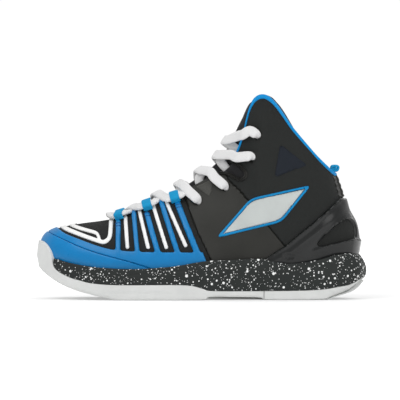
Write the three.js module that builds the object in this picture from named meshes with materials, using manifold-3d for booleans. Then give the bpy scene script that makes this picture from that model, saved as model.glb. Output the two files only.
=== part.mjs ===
// Basketball high top, left shoe: toe at -X, heel at +X, lateral side at -Y, ground at Z = 0.
// Every piece of the upper is a layer of one curved surface, the outside of the shoe, cut to its pattern.
import * as THREE from "three";
import { mergeVertices } from "three/addons/utils/BufferGeometryUtils.js";
import Module from "manifold-3d";

const wasm = await Module();
wasm.setup();

// ---- driving dimensions, in millimetres ----
const shoeLength = 306; // over the soles, toe to heel
const shoeWidth = 112; // over the soles at the ball
const collarHeight = 189; // ground to the front peak of the collar
const fit = 0.3; // clearance between two pieces that are glued or sewn together
const overlayThickness = 1.2; // rubber and film overlays
const shellThickness = 1.8; // fabric shell
const liningThickness = 1.4;
const toePadding = 1.6; // room for the toe puff between shell and lining
const collarPadding = 8; // foam at the ankle
const clipThickness = 2.2; // moulded heel clip
const badgeThickness = 0.9;
const printThickness = 0.7; // white bars and stripes
const boardThickness = 2;
const insoleThickness = 4.5;
const cushionDepth = 4;
const shankThickness = 2;
const tongueThickness = 5;
const laceDiameter = 4.2;
const laceClearance = 0.5; // round the lace, in eyelets and loops
const throatRoom = 12; // each side of the throat keeps this for the wall, the lace and the tongue's edge
const loopWidth = 8.5; // lace loops, along the throat
const loopThickness = 1.3;
const bindingDiameter = 3.6;
const pullTabWidth = 14;
const pullTabThickness = 1.4;
const pullTabRadius = 3.3;
const pullTabHeight = 2.6; // between the centres of its round ends
const barWidth = 3.4;
const stripeWidth = 3.6;

// ---- grading: the pattern below is drawn for one size and stretched to the driving dimensions ----
const pattern = { length: 306, width: 112, height: 189, footbed: 27 };
const gradeX = (x) => (x * shoeLength) / pattern.length;
const gradeY = (y) => (y * shoeWidth) / pattern.width;
const upperStretch = (collarHeight - pattern.footbed) / (pattern.height - pattern.footbed);
const gradeZ = (z) => (z <= pattern.footbed ? z : pattern.footbed + (z - pattern.footbed) * upperStretch);
const gradeXZ = (points) => points.map(([x, z]) => [gradeX(x), gradeZ(z)]);
// Half the throat's width: what is left beside its room for wall, lace and tongue follows the shoe's width.
const gradeHalf = (half) => (half > 0 ? throatRoom + gradeY(half - throatRoom) : 0);
const everyY = [-200, 200]; // wider than any shoe
const belowAll = -5;

// ---- the upper's surface ----
// Stations run from the toe to the heel. Each has a point on the feather edge at the sole (foot: x, lateral y,
// medial y, z), one on the ridge or the topline (top: x, half width, z), and how the wall between them swells.
const stations = [
  { foot: [-146, 0, 0, 31], top: [-116, 0, 70.2], centre: 7, rise: 0.66, bulge: 6.5, reach: 1.12, drop: 0.14 },
  { foot: [-138, -23, 19, 29], top: [-109, 0, 71.2], centre: 6.5, rise: 0.66, bulge: 7, reach: 1, drop: 0.1 },
  { foot: [-124, -36, 31, 26], top: [-100, 0, 72.4], centre: 6, rise: 0.64, bulge: 7, reach: 0.8, drop: 0.05 },
  { foot: [-105, -44, 39, 23], top: [-91, 0, 73.6], centre: 5, rise: 0.62, bulge: 7, reach: 0.68, drop: 0.03 },
  { foot: [-84, -48, 43, 20.5], top: [-82, 0, 75], centre: 4, rise: 0.6, bulge: 7, reach: 0.6, drop: 0.02 },
  { foot: [-57, -50, 44, 19], top: [-63, 12, 83], centre: 3, rise: 0.56, bulge: 6, reach: 0.5, drop: 0.14 },
  { foot: [-27, -50, 42, 19], top: [-41, 15, 91.5], centre: 2, rise: 0.52, bulge: 5, reach: 0.48, drop: 0.18 },
  { foot: [4, -46, 37, 20], top: [-18, 17, 100], centre: 1, rise: 0.48, bulge: 4, reach: 0.45, drop: 0.25 },
  { foot: [22, -42, 34, 21.5], top: [4, 18, 111.5], centre: 1, rise: 0.44, bulge: 3, reach: 0.42, drop: 0.3 },
  { foot: [36, -40, 33, 22.5], top: [24, 19, 123], centre: 0.5, rise: 0.4, bulge: 3, reach: 0.38, drop: 0.32 },
  { foot: [47, -39, 33, 23.5], top: [36, 20, 147], centre: 0, rise: 0.38, bulge: 3.5, reach: 0.35, drop: 0.32 },
  { foot: [58, -38, 33, 24.5], top: [44.5, 21, 178], centre: 0, rise: 0.36, bulge: 4, reach: 0.35, drop: 0.32 },
  { foot: [70, -37, 34, 25.5], top: [54, 24, 188.4], centre: 0, rise: 0.34, bulge: 4.5, reach: 0.3, drop: 0.32 },
  { foot: [84, -36, 35, 26], top: [66, 30, 182.5], centre: 0, rise: 0.32, bulge: 5, reach: 0.2, drop: 0.32 },
  { foot: [103, -34, 34, 26.5], top: [84, 35, 158.5], centre: 0, rise: 0.32, bulge: 5, reach: 0.05, drop: 0.32 },
  { foot: [121, -29, 29, 27], top: [104, 34, 136], centre: 0, rise: 0.32, bulge: 5, reach: 0.1, drop: 0.32 },
  { foot: [136, -17, 17, 27], top: [119, 21, 121.5], centre: 0, rise: 0.34, bulge: 5, reach: 0.3, drop: 0.3 },
  { foot: [141.5, 0, 0, 27], top: [125, 0, 117], centre: 0, rise: 0.34, bulge: 5, reach: 0.55, drop: 0.3 },
];
const lastStation = stations.length - 1;
const throatStation = 4; // the ridge over the toes ends here and the throat opens
const sides = { lateral: -1, medial: 1 };

// The four rails of one side, each a list of points: feather edge, two handles of the wall, topline.
function railsOf(side) {
  const foot = stations.map(
    (s) => new THREE.Vector3(gradeX(s.foot[0]), gradeY(s.centre + s.foot[side < 0 ? 1 : 2]), gradeZ(s.foot[3])),
  );
  const top = stations.map(
    (s) => new THREE.Vector3(gradeX(s.top[0]), gradeY(s.centre) + side * gradeHalf(s.top[1]), gradeZ(s.top[2])),
  );
  const low = [];
  const high = [];
  stations.forEach((s, i) => {
    const along = new THREE.Vector3(0, i === 0 ? side : -side, 0);
    if (i > 0 && i < lastStation) along.subVectors(foot[i + 1], foot[i - 1]).setZ(0).normalize();
    const outward = new THREE.Vector3(-side * along.y, side * along.x, 0);
    const wall = top[i].z - foot[i].z;
    low.push(foot[i].clone().addScaledVector(outward, s.bulge).add(new THREE.Vector3(0, 0, wall * s.rise)));
    const back = new THREE.Vector3().subVectors(foot[i], top[i]).setZ(0).multiplyScalar(s.reach);
    high.push(top[i].clone().add(back).add(new THREE.Vector3(0, 0, -wall * s.drop)));
  });
  return [foot, low, high, top];
}
const rails = { [-1]: railsOf(-1), 1: railsOf(1) };

// A point on a rail: a Catmull-Rom curve whose ends go round to the other side's rail.
function onRail(side, rail, u) {
  const own = rails[side][rail];
  const other = rails[-side][rail];
  const i = Math.min(Math.floor(u), lastStation - 1);
  const t = u - i;
  let before = i > 0 ? own[i - 1] : other[1];
  let after = i + 2 <= lastStation ? own[i + 2] : other[lastStation - 1];
  if (rail === 3 && i === throatStation) before = other[i + 1];
  if (rail === 3 && i === throatStation - 1) after = own[i + 1].clone().multiplyScalar(2).sub(own[i]);
  if (rail === 3 && i === 0) before = own[0].clone().multiplyScalar(2).sub(own[1]);
  const blend = (a, b, c, d) =>
    0.5 * (2 * b + (c - a) * t + (2 * a - 5 * b + 4 * c - d) * t * t + (3 * b - a - 3 * c + d) * t * t * t);
  return new THREE.Vector3(
    blend(before.x, own[i].x, own[i + 1].x, after.x),
    blend(before.y, own[i].y, own[i + 1].y, after.y),
    blend(before.z, own[i].z, own[i + 1].z, after.z),
  );
}

// A point of the outside: u counts stations from the toe, b goes from the feather edge (0) to the top (1).
function surface(side, u, b) {
  const a = 1 - b;
  return onRail(side, 0, u)
    .multiplyScalar(a * a * a)
    .addScaledVector(onRail(side, 1, u), 3 * a * a * b)
    .addScaledVector(onRail(side, 2, u), 3 * a * b * b)
    .addScaledVector(onRail(side, 3, u), b * b * b);
}

// Outward normal of one side, by small differences.
function sideNormal(side, u, b) {
  const step = 0.004;
  const u0 = Math.max(u - step, 0);
  const u1 = Math.min(u + step, lastStation);
  const b0 = Math.max(b - step, 0);
  const b1 = Math.min(b + step, 1);
  const along = surface(side, u1, b).sub(surface(side, u0, b));
  const up = surface(side, u, b1).sub(surface(side, u, b0));
  return along.cross(up).multiplyScalar(-side).normalize();
}

// Where both sides meet, at the toe, the heel and the ridge, the normal is their mean.
function normal(side, u, b) {
  const own = sideNormal(side, u, b);
  const meets = u < 1e-6 || u > lastStation - 1e-6 || (b > 1 - 1e-6 && u < throatStation + 1e-6);
  return meets ? own.add(sideNormal(-side, u, b)).normalize() : own;
}

// A point off the outside by a distance along its normal, inwards when negative.
const offSurface = (side, u, b, offset) => surface(side, u, b).addScaledVector(normal(side, u, b), offset);

// The place (u, b) that has a given x and z on one side, by Newton's method from the nearest grid point.
function placeOf(side, x, z) {
  let best = { error: Infinity };
  for (let u = 0; u <= lastStation; u += 0.5)
    for (let b = 0; b <= 1; b += 0.1) {
      const p = surface(side, u, b);
      const error = Math.hypot(p.x - x, p.z - z);
      if (error < best.error) best = { error, u, b };
    }
  let { u, b } = best;
  for (let i = 0; i < 12; i++) {
    const step = 1e-4;
    const p = surface(side, u, b);
    const pu = surface(side, Math.min(u + step, lastStation), b).sub(p).divideScalar(step);
    const pb = surface(side, u, Math.min(b + step, 1)).sub(p).divideScalar(step);
    const det = pu.x * pb.z - pb.x * pu.z;
    if (Math.abs(det) < 1e-9) break;
    const dx = x - p.x;
    const dz = z - p.z;
    u = THREE.MathUtils.clamp(u + (dx * pb.z - pb.x * dz) / det, 0, lastStation - 2e-4);
    b = THREE.MathUtils.clamp(b + (pu.x * dz - dx * pu.z) / det, 0, 1 - 2e-4);
  }
  return { u, b };
}

// ---- solids ----
function solidOf(positions, triangles) {
  const geometry = new THREE.BufferGeometry();
  geometry.setAttribute("position", new THREE.Float32BufferAttribute(positions, 3));
  geometry.setIndex(triangles);
  return fromGeometry(geometry);
}

function fromGeometry(source) {
  const geometry = source.clone();
  geometry.deleteAttribute("normal");
  geometry.deleteAttribute("uv");
  const merged = mergeVertices(geometry, 1e-3);
  const kept = [];
  const index = merged.index.array;
  for (let i = 0; i < index.length; i += 3) {
    const [a, b, c] = [index[i], index[i + 1], index[i + 2]];
    if (a !== b && b !== c && c !== a) kept.push(a, b, c);
  }
  const mesh = new wasm.Mesh({
    numProp: 3,
    vertProperties: merged.attributes.position.array,
    triVerts: new Uint32Array(kept),
  });
  return new wasm.Manifold(mesh);
}

function toGeometry(solid) {
  const mesh = solid.getMesh();
  const geometry = new THREE.BufferGeometry();
  geometry.setAttribute("position", new THREE.BufferAttribute(new Float32Array(mesh.vertProperties), 3));
  geometry.setIndex(new THREE.BufferAttribute(new Uint32Array(mesh.triVerts), 1));
  const flat = geometry.toNonIndexed();
  flat.computeVertexNormals();
  return flat;
}

// Rows of u and b where the layers have their grid lines; the throat's start is one of them.
const uRows = [];
const toeRows = 6;
const heelRows = 13;
for (let i = 0; i <= toeRows; i++) uRows.push((throatStation * i) / toeRows);
for (let i = 1; i <= heelRows; i++) uRows.push(throatStation + ((lastStation - throatStation) * i) / heelRows);
const bRows = [0, 0.18, 0.38, 0.6, 0.82, 1];

// Adds the two triangles of a quad, turned round on request.
function pushQuad(triangles, a, b, c, d, flip = false) {
  if (flip) triangles.push(a, c, b, a, d, c);
  else triangles.push(a, b, c, a, c, d);
}

// One closed layer between two offsets, all round the shoe. The offsets may be functions of (u, b).
function layer(inner, outer) {
  const at = (offset, u, b) => (typeof offset === "function" ? offset(u, b) : offset);
  const positions = [];
  const triangles = [];
  const nu = uRows.length;
  const nb = bRows.length;
  const index = (s, face, i, j) => ((s * 2 + face) * nu + i) * nb + j;
  for (const side of [-1, 1])
    for (const offset of [inner, outer])
      for (const u of uRows)
        for (const b of bRows) positions.push(...offSurface(side, u, b, at(offset, u, b)).toArray());
  const quad = (...corners) => pushQuad(triangles, ...corners);
  [-1, 1].forEach((side, s) => {
    const flip = side > 0;
    for (let i = 0; i < nu - 1; i++) {
      for (let j = 0; j < nb - 1; j++) {
        for (const face of [0, 1]) {
          const [a, b] = [index(s, face, i, j), index(s, face, i + 1, j)];
          quad(a, b, b + 1, a + 1, face === 1 ? flip : !flip);
        }
      }
      quad(index(s, 0, i, 0), index(s, 0, i + 1, 0), index(s, 1, i + 1, 0), index(s, 1, i, 0), flip);
      if (uRows[i] > throatStation - 1e-6) {
        const j = nb - 1;
        quad(index(s, 1, i, j), index(s, 1, i + 1, j), index(s, 0, i + 1, j), index(s, 0, i, j), flip);
      }
    }
  });
  return solidOf(positions, triangles);
}

// The whole inside of a surface, closed by a floor and a lid: what the soles have to leave free.
function footSpace(offset) {
  const positions = [];
  const triangles = [];
  const nu = uRows.length;
  const nb = bRows.length + 1;
  const index = (s, i, j) => (s * nu + i) * nb + j;
  for (const side of [-1, 1])
    for (const u of uRows) {
      const edge = offSurface(side, u, 0, offset);
      positions.push(edge.x, edge.y, edge.z - fit);
      for (const b of bRows) positions.push(...offSurface(side, u, b, offset).toArray());
    }
  const quad = (...corners) => pushQuad(triangles, ...corners);
  for (let i = 0; i < nu - 1; i++) {
    for (const s of [0, 1])
      for (let j = 0; j < nb - 1; j++)
        quad(index(s, i, j), index(s, i + 1, j), index(s, i + 1, j + 1), index(s, i, j + 1), s === 1);
    quad(index(1, i, 0), index(1, i + 1, 0), index(0, i + 1, 0), index(0, i, 0), false);
    const j = nb - 1;
    if (uRows[i] > throatStation - 1e-6)
      quad(index(0, i, j), index(0, i + 1, j), index(1, i + 1, j), index(1, i, j), false);
  }
  return solidOf(positions, triangles);
}

// A side-view outline, in x and z, pushed through the shoe from one y to another.
function through(points, y0 = everyY[0], y1 = everyY[1]) {
  const shape = new THREE.Shape(points.map(([x, z]) => new THREE.Vector2(x, z)));
  const geometry = new THREE.ExtrudeGeometry(shape, { depth: y1 - y0, bevelEnabled: false });
  geometry.rotateX(Math.PI / 2);
  geometry.translate(0, y1, 0);
  return fromGeometry(geometry);
}

// The same on one side of the shoe only.
function onSide(side, points) {
  return side < 0 ? through(points, everyY[0], 0) : through(points, 0, everyY[1]);
}

// An open line moved sideways by a distance, to the left of its direction.
function beside(points, distance) {
  return points.map(([x, z], i) => {
    const [ax, az] = points[Math.max(i - 1, 0)];
    const [bx, bz] = points[Math.min(i + 1, points.length - 1)];
    const length = Math.hypot(bx - ax, bz - az);
    return [x - (distance * (bz - az)) / length, z + (distance * (bx - ax)) / length];
  });
}

// An open line drawn with a pen of some width.
const stroke = (points, width) => [...beside(points, width / 2), ...beside(points, -width / 2).reverse()];

// A smooth open line through points.
function smooth(points, count) {
  const places = points.map(([x, z]) => new THREE.Vector3(x, 0, z));
  const curve = new THREE.CatmullRomCurve3(places, false, "centripetal");
  return curve.getPoints(count).map((p) => [p.x, p.z]);
}

// A closed outline moved outwards by a distance, corner by corner.
function grown(points, distance) {
  const n = points.length;
  const turn = Math.sign(THREE.ShapeUtils.area(points.map(([x, z]) => new THREE.Vector2(x, z))));
  return points.map(([x, z], i) => {
    const [ax, az] = points[(i + n - 1) % n];
    const [bx, bz] = points[(i + 1) % n];
    const before = new THREE.Vector2(x - ax, z - az).normalize();
    const after = new THREE.Vector2(bx - x, bz - z).normalize();
    const n0 = new THREE.Vector2(before.y, -before.x).multiplyScalar(turn);
    const n1 = new THREE.Vector2(after.y, -after.x).multiplyScalar(turn);
    const mean = n0.clone().add(n1).normalize();
    const miter = distance / Math.max(mean.dot(n1), 0.4);
    return [x + mean.x * miter, z + mean.y * miter];
  });
}

const shoe = new THREE.Group();

// Names a solid, gives it its material and adds it to the shoe.
function add(name, solid, color, roughness = 0.7) {
  const material = new THREE.MeshStandardMaterial({ color, roughness, metalness: 0 });
  const mesh = new THREE.Mesh(toGeometry(solid), material);
  mesh.name = name;
  shoe.add(mesh);
}
const black = 0x232424;
const darkGrey = 0x32322f;
const blue = 0x0078c8;
const deepBlue = 0x0a69b0;
const white = 0xf2f2f2;
const foamGrey = 0x8c8f92;

// ---- layers, from the outside inwards ----
const shellOuter = -overlayThickness - fit;
const shellInner = shellOuter - shellThickness;
const padOuter = shellInner - fit;
// Thickness of what lies between shell and lining: more round the ankle, least at the front of the collar.
function padding(u, b) {
  const behind = THREE.MathUtils.smoothstep(u, 11, 14);
  const high = THREE.MathUtils.smoothstep(b, 0.35, 0.7);
  return toePadding + (collarPadding - toePadding) * behind * high;
}
const padInner = (u, b) => padOuter - padding(u, b);
const liningOuter = (u, b) => padInner(u, b) - fit;
const liningInner = (u, b) => liningOuter(u, b) - liningThickness;
const overlay = layer(-overlayThickness, 0);
const shell = layer(shellInner, shellOuter);
const between = layer(padInner, padOuter);
const lining = layer(liningInner, liningOuter);

// ---- soles ----
// Plan of the soles at their widest, x and y, clockwise from the heel seen from above.
const solePlan = [
  [153, 0], [151, -13], [143, -28], [125, -39], [100, -43], [70, -43], [35, -46], [0, -51], [-35, -56],
  [-65, -55], [-95, -49], [-120, -40], [-140, -25], [-150, -8], [-153, 6], [-151, 20], [-142, 34],
  [-125, 44], [-100, 51], [-70, 54], [-40, 51], [-5, 43], [30, 38], [65, 38], [100, 41], [125, 38],
  [143, 27], [151, 13],
];
// How far the side wall stands in at each height above the ground: [z, inset].
const soleWall = [[0, 3.5], [2.5, 1], [7, 0], [30, 0], [40, 0.6], [58, 1.4]];
function soleSolid() {
  const points = solePlan.map(([x, y]) => new THREE.Vector3(gradeX(x), gradeY(y), 0));
  const curve = new THREE.CatmullRomCurve3(points, true, "centripetal");
  const count = 44;
  const ring = curve.getPoints(count).slice(0, count);
  const inward = ring.map((p, i) => {
    const [before, after] = [ring[(i + count - 1) % count], ring[(i + 1) % count]];
    const along = new THREE.Vector3().subVectors(after, before).normalize();
    return new THREE.Vector3(along.y, -along.x, 0);
  });
  const positions = [];
  const triangles = [];
  for (const [z, inset] of soleWall)
    ring.forEach((p, i) => positions.push(p.x + inward[i].x * inset, p.y + inward[i].y * inset, z));
  const rings = soleWall.length;
  for (let k = 0; k < rings - 1; k++)
    for (let i = 0; i < count; i++) {
      const a = k * count + i;
      const b = k * count + ((i + 1) % count);
      triangles.push(a, a + count, b + count, a, b + count, b);
    }
  const cap = THREE.ShapeUtils.triangulateShape(ring.map((p) => new THREE.Vector2(p.x, p.y)), []);
  const lid = (rings - 1) * count;
  for (const corners of cap) {
    const flat = corners.map((i) => new THREE.Vector2(ring[i].x, ring[i].y));
    const [a, b, c] = THREE.ShapeUtils.area(flat) > 0 ? corners : [...corners].reverse();
    triangles.push(a, c, b, lid + a, lid + b, lid + c);
  }
  return solidOf(positions, triangles);
}
const sole = soleSolid();
const soleSplit = 57.5; // where the outsole is parted in front of the heel, in pattern x
// Side view of the ground line, from the toe to the heel: toe spring, arch and rounded heel.
const groundLine = [
  [-160, 46], [-153, 40], [-150, 30], [-144, 24], [-131, 15.5], [-116, 9.2], [-100, 4.8], [-86, 1.8], [-74, 0],
  [0, 0], [6, 3], [50, 3], [60, 0.6], [66, 0], [112, 0], [120, 2], [136, 6.5], [143, 10], [149, 16], [153.5, 26],
  [152, 33], [148.5, 39], [145, 43.5], [145, 60],
];
const rubberLine = [
  [-160, 54], [-150, 53.2], [-143, 47.5], [-139.5, 41], [-137.5, 33.5], [-133.5, 27.2], [-122, 21], [-110, 17.6],
  [-99, 15.3], [-76, 14], [-16, 14], [2, 10.5], [16, 8.3], [98, 8.8], [128, 12], [143, 15.2], [160, 26],
];
const rimLine = [
  [-160, 38.4], [-138, 38], [-124, 34.5], [-101, 30.8], [-83, 29.4], [-61, 28.8], [-35, 30.3], [-20, 31.9],
  [2, 35.6], [17, 36.6], [54, 38], [65, 35.8], [77, 33.6], [91, 34.2], [109, 37], [118, 39.3],
  [134, 42.3], [160, 42.3],
];
const ground = gradeXZ(groundLine);
const rubber = gradeXZ(rubberLine);
const rim = gradeXZ(rimLine);
const split = gradeX(soleSplit);
const top = gradeZ(200);
const farLeft = gradeX(-170);
const farRight = gradeX(170);
const aboveGround = through([...ground, [gradeX(145), top], [farLeft, top], [farLeft, ground[0][1]]]);
const soleBody = sole.intersect(aboveGround);
const cup = footSpace(fit);
// All below a line that runs from the toe to the heel.
const under = (line) => through([
  [farLeft, belowAll], [farRight, belowAll], [farRight, line.at(-1)[1]], ...line.slice().reverse(),
  [farLeft, line[0][1]],
]);
const belowRubber = under(rubber);
const aboveRubber = through([...beside(rubber, fit), [farRight, top], [farLeft, top]]);
const belowRim = under(rim);
const upright = (x0, x1) => through([[x0, belowAll], [x1, belowAll], [x1, top], [x0, top]]);
const front = upright(farLeft, split);
const rear = upright(split + fit, farRight);
const outsole = soleBody.intersect(belowRubber).subtract(cup);
add("outsole_forefoot", outsole.intersect(front), white, 0.55);
add("outsole_heel", outsole.intersect(rear), white, 0.55);

// A plate over the whole foot, ruled between the feather edges, set in from them, between two heights above them.
function footPlate(inset, low, high, x0 = farLeft, x1 = farRight) {
  const positions = [];
  const triangles = [];
  const index = (i, s, level) => (i * 2 + s) * 2 + level;
  for (const u of uRows)
    for (const side of [-1, 1]) {
      const flatNormal = normal(side, u, 0).setZ(0).normalize();
      const edge = surface(side, u, 0).addScaledVector(flatNormal, -inset);
      positions.push(edge.x, edge.y, edge.z + low, edge.x, edge.y, edge.z + high);
    }
  for (let i = 0; i < uRows.length - 1; i++) {
    const quads = [
      [index(i, 0, 1), index(i + 1, 0, 1), index(i + 1, 1, 1), index(i, 1, 1)],
      [index(i, 0, 0), index(i, 1, 0), index(i + 1, 1, 0), index(i + 1, 0, 0)],
      [index(i, 0, 0), index(i + 1, 0, 0), index(i + 1, 0, 1), index(i, 0, 1)],
      [index(i, 1, 0), index(i, 1, 1), index(i + 1, 1, 1), index(i + 1, 1, 0)],
    ];
    for (const corners of quads) pushQuad(triangles, ...corners);
  }
  const plate = solidOf(positions, triangles);
  return plate.intersect(upright(x0, x1));
}
const wallDepth = -liningInner(lastStation, 0) + fit; // from the outside to the lining's inside at the floor
const cushionInset = 12;
const heelCushionSpan = [gradeX(62), gradeX(124)];
const forefootCushionSpan = [gradeX(-92), gradeX(-34)];
const shankSpan = [gradeX(-8), gradeX(50)];
const cushion = (x0, x1, spare) =>
  footPlate(cushionInset - spare, -cushionDepth - spare - fit, spare - fit * 2, x0 - spare, x1 + spare);
const shankBase = gradeZ(14.6);
const shankHalf = gradeY(14);
const shankLedge = [6, 4]; // how far the shank rests on the foam at its ends and sides
function shank(spare) {
  const [x0, x1] = shankSpan;
  const low = shankBase - spare;
  const high = shankBase + shankThickness + spare;
  return through([[x0 - spare, low], [x1 + spare, low], [x1 + spare, high], [x0 - spare, high]],
    -shankHalf - spare, shankHalf + spare);
}
const windowEnds = [shankSpan[0] + shankLedge[0], shankSpan[1] - shankLedge[0]];
const windowHalf = shankHalf - shankLedge[1];
const shankWindow = through([
  [windowEnds[0], belowAll], [windowEnds[1], belowAll], [windowEnds[1], shankBase], [windowEnds[0], shankBase],
], -windowHalf, windowHalf);
let midsole = soleBody.intersect(aboveRubber).intersect(belowRim).subtract(cup);
midsole = midsole.subtract(cushion(...heelCushionSpan, fit)).subtract(cushion(...forefootCushionSpan, fit));
midsole = midsole.subtract(shank(fit)).subtract(shankWindow);
add("midsole", midsole, darkGrey, 0.75);
add("heel_cushion", cushion(...heelCushionSpan, 0), foamGrey, 0.9);
add("forefoot_cushion", cushion(...forefootCushionSpan, 0), foamGrey, 0.9);
add("shank_plate", shank(0), black, 0.35);
add("strobel_board", footPlate(wallDepth, 0, boardThickness), 0xd8d4c8, 0.95);
const insoleBase = boardThickness + fit;
add("insole", footPlate(wallDepth + 1, insoleBase, insoleBase + insoleThickness), blue, 0.9);

// ---- seams of the shell, in side view ----
const bottom = 5;
const quarterFront = gradeXZ([
  [-24, 118], [-19.2, 102.6], [-13.4, 90], [-6.6, 71], [2.4, 51.8], [10.4, 34.2], [20, bottom],
]);
const quarterBack = gradeXZ([
  [20, 134], [22.4, 119.2], [24.8, 110.8], [36, 99.5], [53.9, 77.7], [75.3, 51.3], [81.5, 43.4], [100, bottom],
]);
const seamHalf = fit / 2;
const frontTop = quarterFront[0];
const vampRegion = through([
  ...beside(quarterFront, -seamHalf), [farLeft, gradeZ(bottom)], [farLeft, frontTop[1]],
]);
const quarterRegion = (side) =>
  onSide(side, [...beside(quarterFront, seamHalf), ...beside(quarterBack, -seamHalf).reverse()]);
const collarRegion = (side) => {
  const points = [
    ...beside(quarterBack, seamHalf), [farRight, gradeZ(bottom)], [farRight, top], [quarterBack[0][0], top],
  ];
  return side < 0 ? through(points, everyY[0], -seamHalf) : through(points, seamHalf, everyY[1]);
};
const notch = gradeXZ([
  [16, 126.5], [29.4, 124.5], [36, 120.2], [39, 116], [37.5, 113.6], [33, 113.1], [27, 117.1], [16, 119],
]);

// ---- lace: from the bar over the toes it crosses up the throat and goes in at the top eyelets ----
// Turns of one side, toe to ankle: x and z in side view, and whether a webbing loop or an eyelet holds it.
const laceTurns = [
  { at: [-74, 76.2], loop: true },
  { at: [-49, 85.5], loop: true },
  { at: [-23.8, 93.4], loop: true },
  { at: [-3.5, 91.5], over: 7.15, under: 7.75 },
  { at: [21.5, 104], over: 8.25, under: 9 },
  { at: [46, 131.2], over: 9.5, under: 9.85 },
  { at: [51, 151.5], over: 10.25, under: 9.8 },
];
const turns = laceTurns.map(({ at: [x, z], ...held }) => {
  const places = {};
  for (const side of [-1, 1]) places[side] = placeOf(side, gradeX(x), gradeZ(z));
  return { places, ...held };
});
const laceRadius = laceDiameter / 2;
const loopLift = fit + loopThickness + laceClearance + laceRadius; // lace centre above the surface in a loop
const laceOver = laceRadius + laceClearance;
const edgeTurn = laceRadius + 1.6; // how far past the throat's edge the lace goes round it
const crossingSpread = [0.3, 0.14]; // how far from the tongue's middle a crossing starts and narrows
const laceUnder = (u, b) => liningInner(u, b) - laceRadius - laceClearance;

// Middle line of the tongue's outer face: [station, x, z].
const tongueLine = [
  [3.7, -84.5, 62.6], [4.3, -76, 67.2], [5, -62, 77.6], [6, -41, 89.5], [7, -18.5, 100.5], [8, 2, 113.5],
  [9, 17.5, 126.5], [10, 28.5, 144], [11, 40.5, 170], [11.5, 46.5, 182.5],
];
const tongueDepth = laceDiameter + 3.4 * laceClearance; // under the lining, so that the lace passes between
const tongueSides = [0.74, 0.85, 0.94]; // how far down the wall its edges reach
function tongueSection(u) {
  const k = Math.min(tongueLine.findIndex((row) => row[0] >= u - 1e-9), tongueLine.length - 1);
  const [before, after] = [tongueLine[Math.max(k - 1, 0)], tongueLine[Math.max(k, 0)]];
  const t = after[0] === before[0] ? 0 : (u - before[0]) / (after[0] - before[0]);
  const x = gradeX(THREE.MathUtils.lerp(before[1], after[1], t));
  const z = gradeZ(THREE.MathUtils.lerp(before[2], after[2], t));
  const wall = (side, b) => offSurface(side, u, b, liningInner(u, b) - tongueDepth);
  const middle = new THREE.Vector3(x, (wall(-1, 1).y + wall(1, 1).y) / 2, z);
  const lateral = tongueSides.map((b) => wall(-1, b));
  const medial = tongueSides.map((b) => wall(1, b)).reverse();
  const crown = middle.clone().sub(lateral.at(-1).clone().add(medial[0]).multiplyScalar(0.5));
  const shoulder = (edge) => edge.clone().lerp(middle, 0.55).addScaledVector(crown, 0.28);
  const arch = [shoulder(lateral.at(-1)), middle, shoulder(medial[0])];
  return new THREE.CatmullRomCurve3([...lateral, ...arch, ...medial], false, "centripetal");
}
// A point of the tongue: t from -1 at its lateral edge to 1, height above its outer face.
function onTongue(u, t, height = 0) {
  const at = (uu, tt) => tongueSection(uu).getPoint(THREE.MathUtils.clamp((tt + 1) / 2, 0, 1));
  const step = 0.02;
  const along = at(Math.min(u + step, 11.5), t).sub(at(Math.max(u - step, 3.7), t));
  const across = at(u, Math.min(t + step, 1)).sub(at(u, Math.max(t - step, -1)));
  return at(u, t).addScaledVector(along.cross(across).normalize(), height);
}
const tongueRows = [3.7, 4.3, 5, 6, 7, 8, 9, 9.7, 10.3, 10.9, 11.5];
const tongueColumns = [-1, -0.72, -0.46, -0.3, -0.15, 0, 0.15, 0.3, 0.46, 0.72, 1];
function tongueLayer(low, high) {
  const positions = [];
  const triangles = [];
  const nu = tongueRows.length;
  const nt = tongueColumns.length;
  for (const height of [low, high])
    for (const u of tongueRows)
      for (const t of tongueColumns) positions.push(...onTongue(u, t, height).toArray());
  const index = (face, i, j) => (face * nu + i) * nt + j;
  const quad = (...corners) => pushQuad(triangles, ...corners);
  for (let i = 0; i < nu - 1; i++)
    for (let j = 0; j < nt - 1; j++) {
      quad(index(1, i, j), index(1, i + 1, j), index(1, i + 1, j + 1), index(1, i, j + 1));
      quad(index(0, i, j), index(0, i, j + 1), index(0, i + 1, j + 1), index(0, i + 1, j));
    }
  for (let i = 0; i < nu - 1; i++) {
    quad(index(0, i, 0), index(0, i + 1, 0), index(1, i + 1, 0), index(1, i, 0));
    quad(index(0, i, nt - 1), index(1, i, nt - 1), index(1, i + 1, nt - 1), index(0, i + 1, nt - 1));
  }
  for (let j = 0; j < nt - 1; j++) {
    quad(index(0, 0, j), index(1, 0, j), index(1, 0, j + 1), index(0, 0, j + 1));
    quad(index(0, nu - 1, j), index(0, nu - 1, j + 1), index(1, nu - 1, j + 1), index(1, nu - 1, j));
  }
  return solidOf(positions, triangles);
}
const tongueLiningThickness = 1.5;
const tongueShell = tongueLayer(-tongueThickness + tongueLiningThickness + 3 * fit, 0);
const tongueBackTop = -tongueThickness + tongueLiningThickness;
const tongueBack = tongueLayer(-tongueThickness, tongueBackTop);

// Direction of the throat's edge at a place, towards the ankle.
function throatDirection(side, { u, b }) {
  return surface(side, u + 0.05, b).sub(surface(side, u - 0.05, b)).normalize();
}

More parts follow.
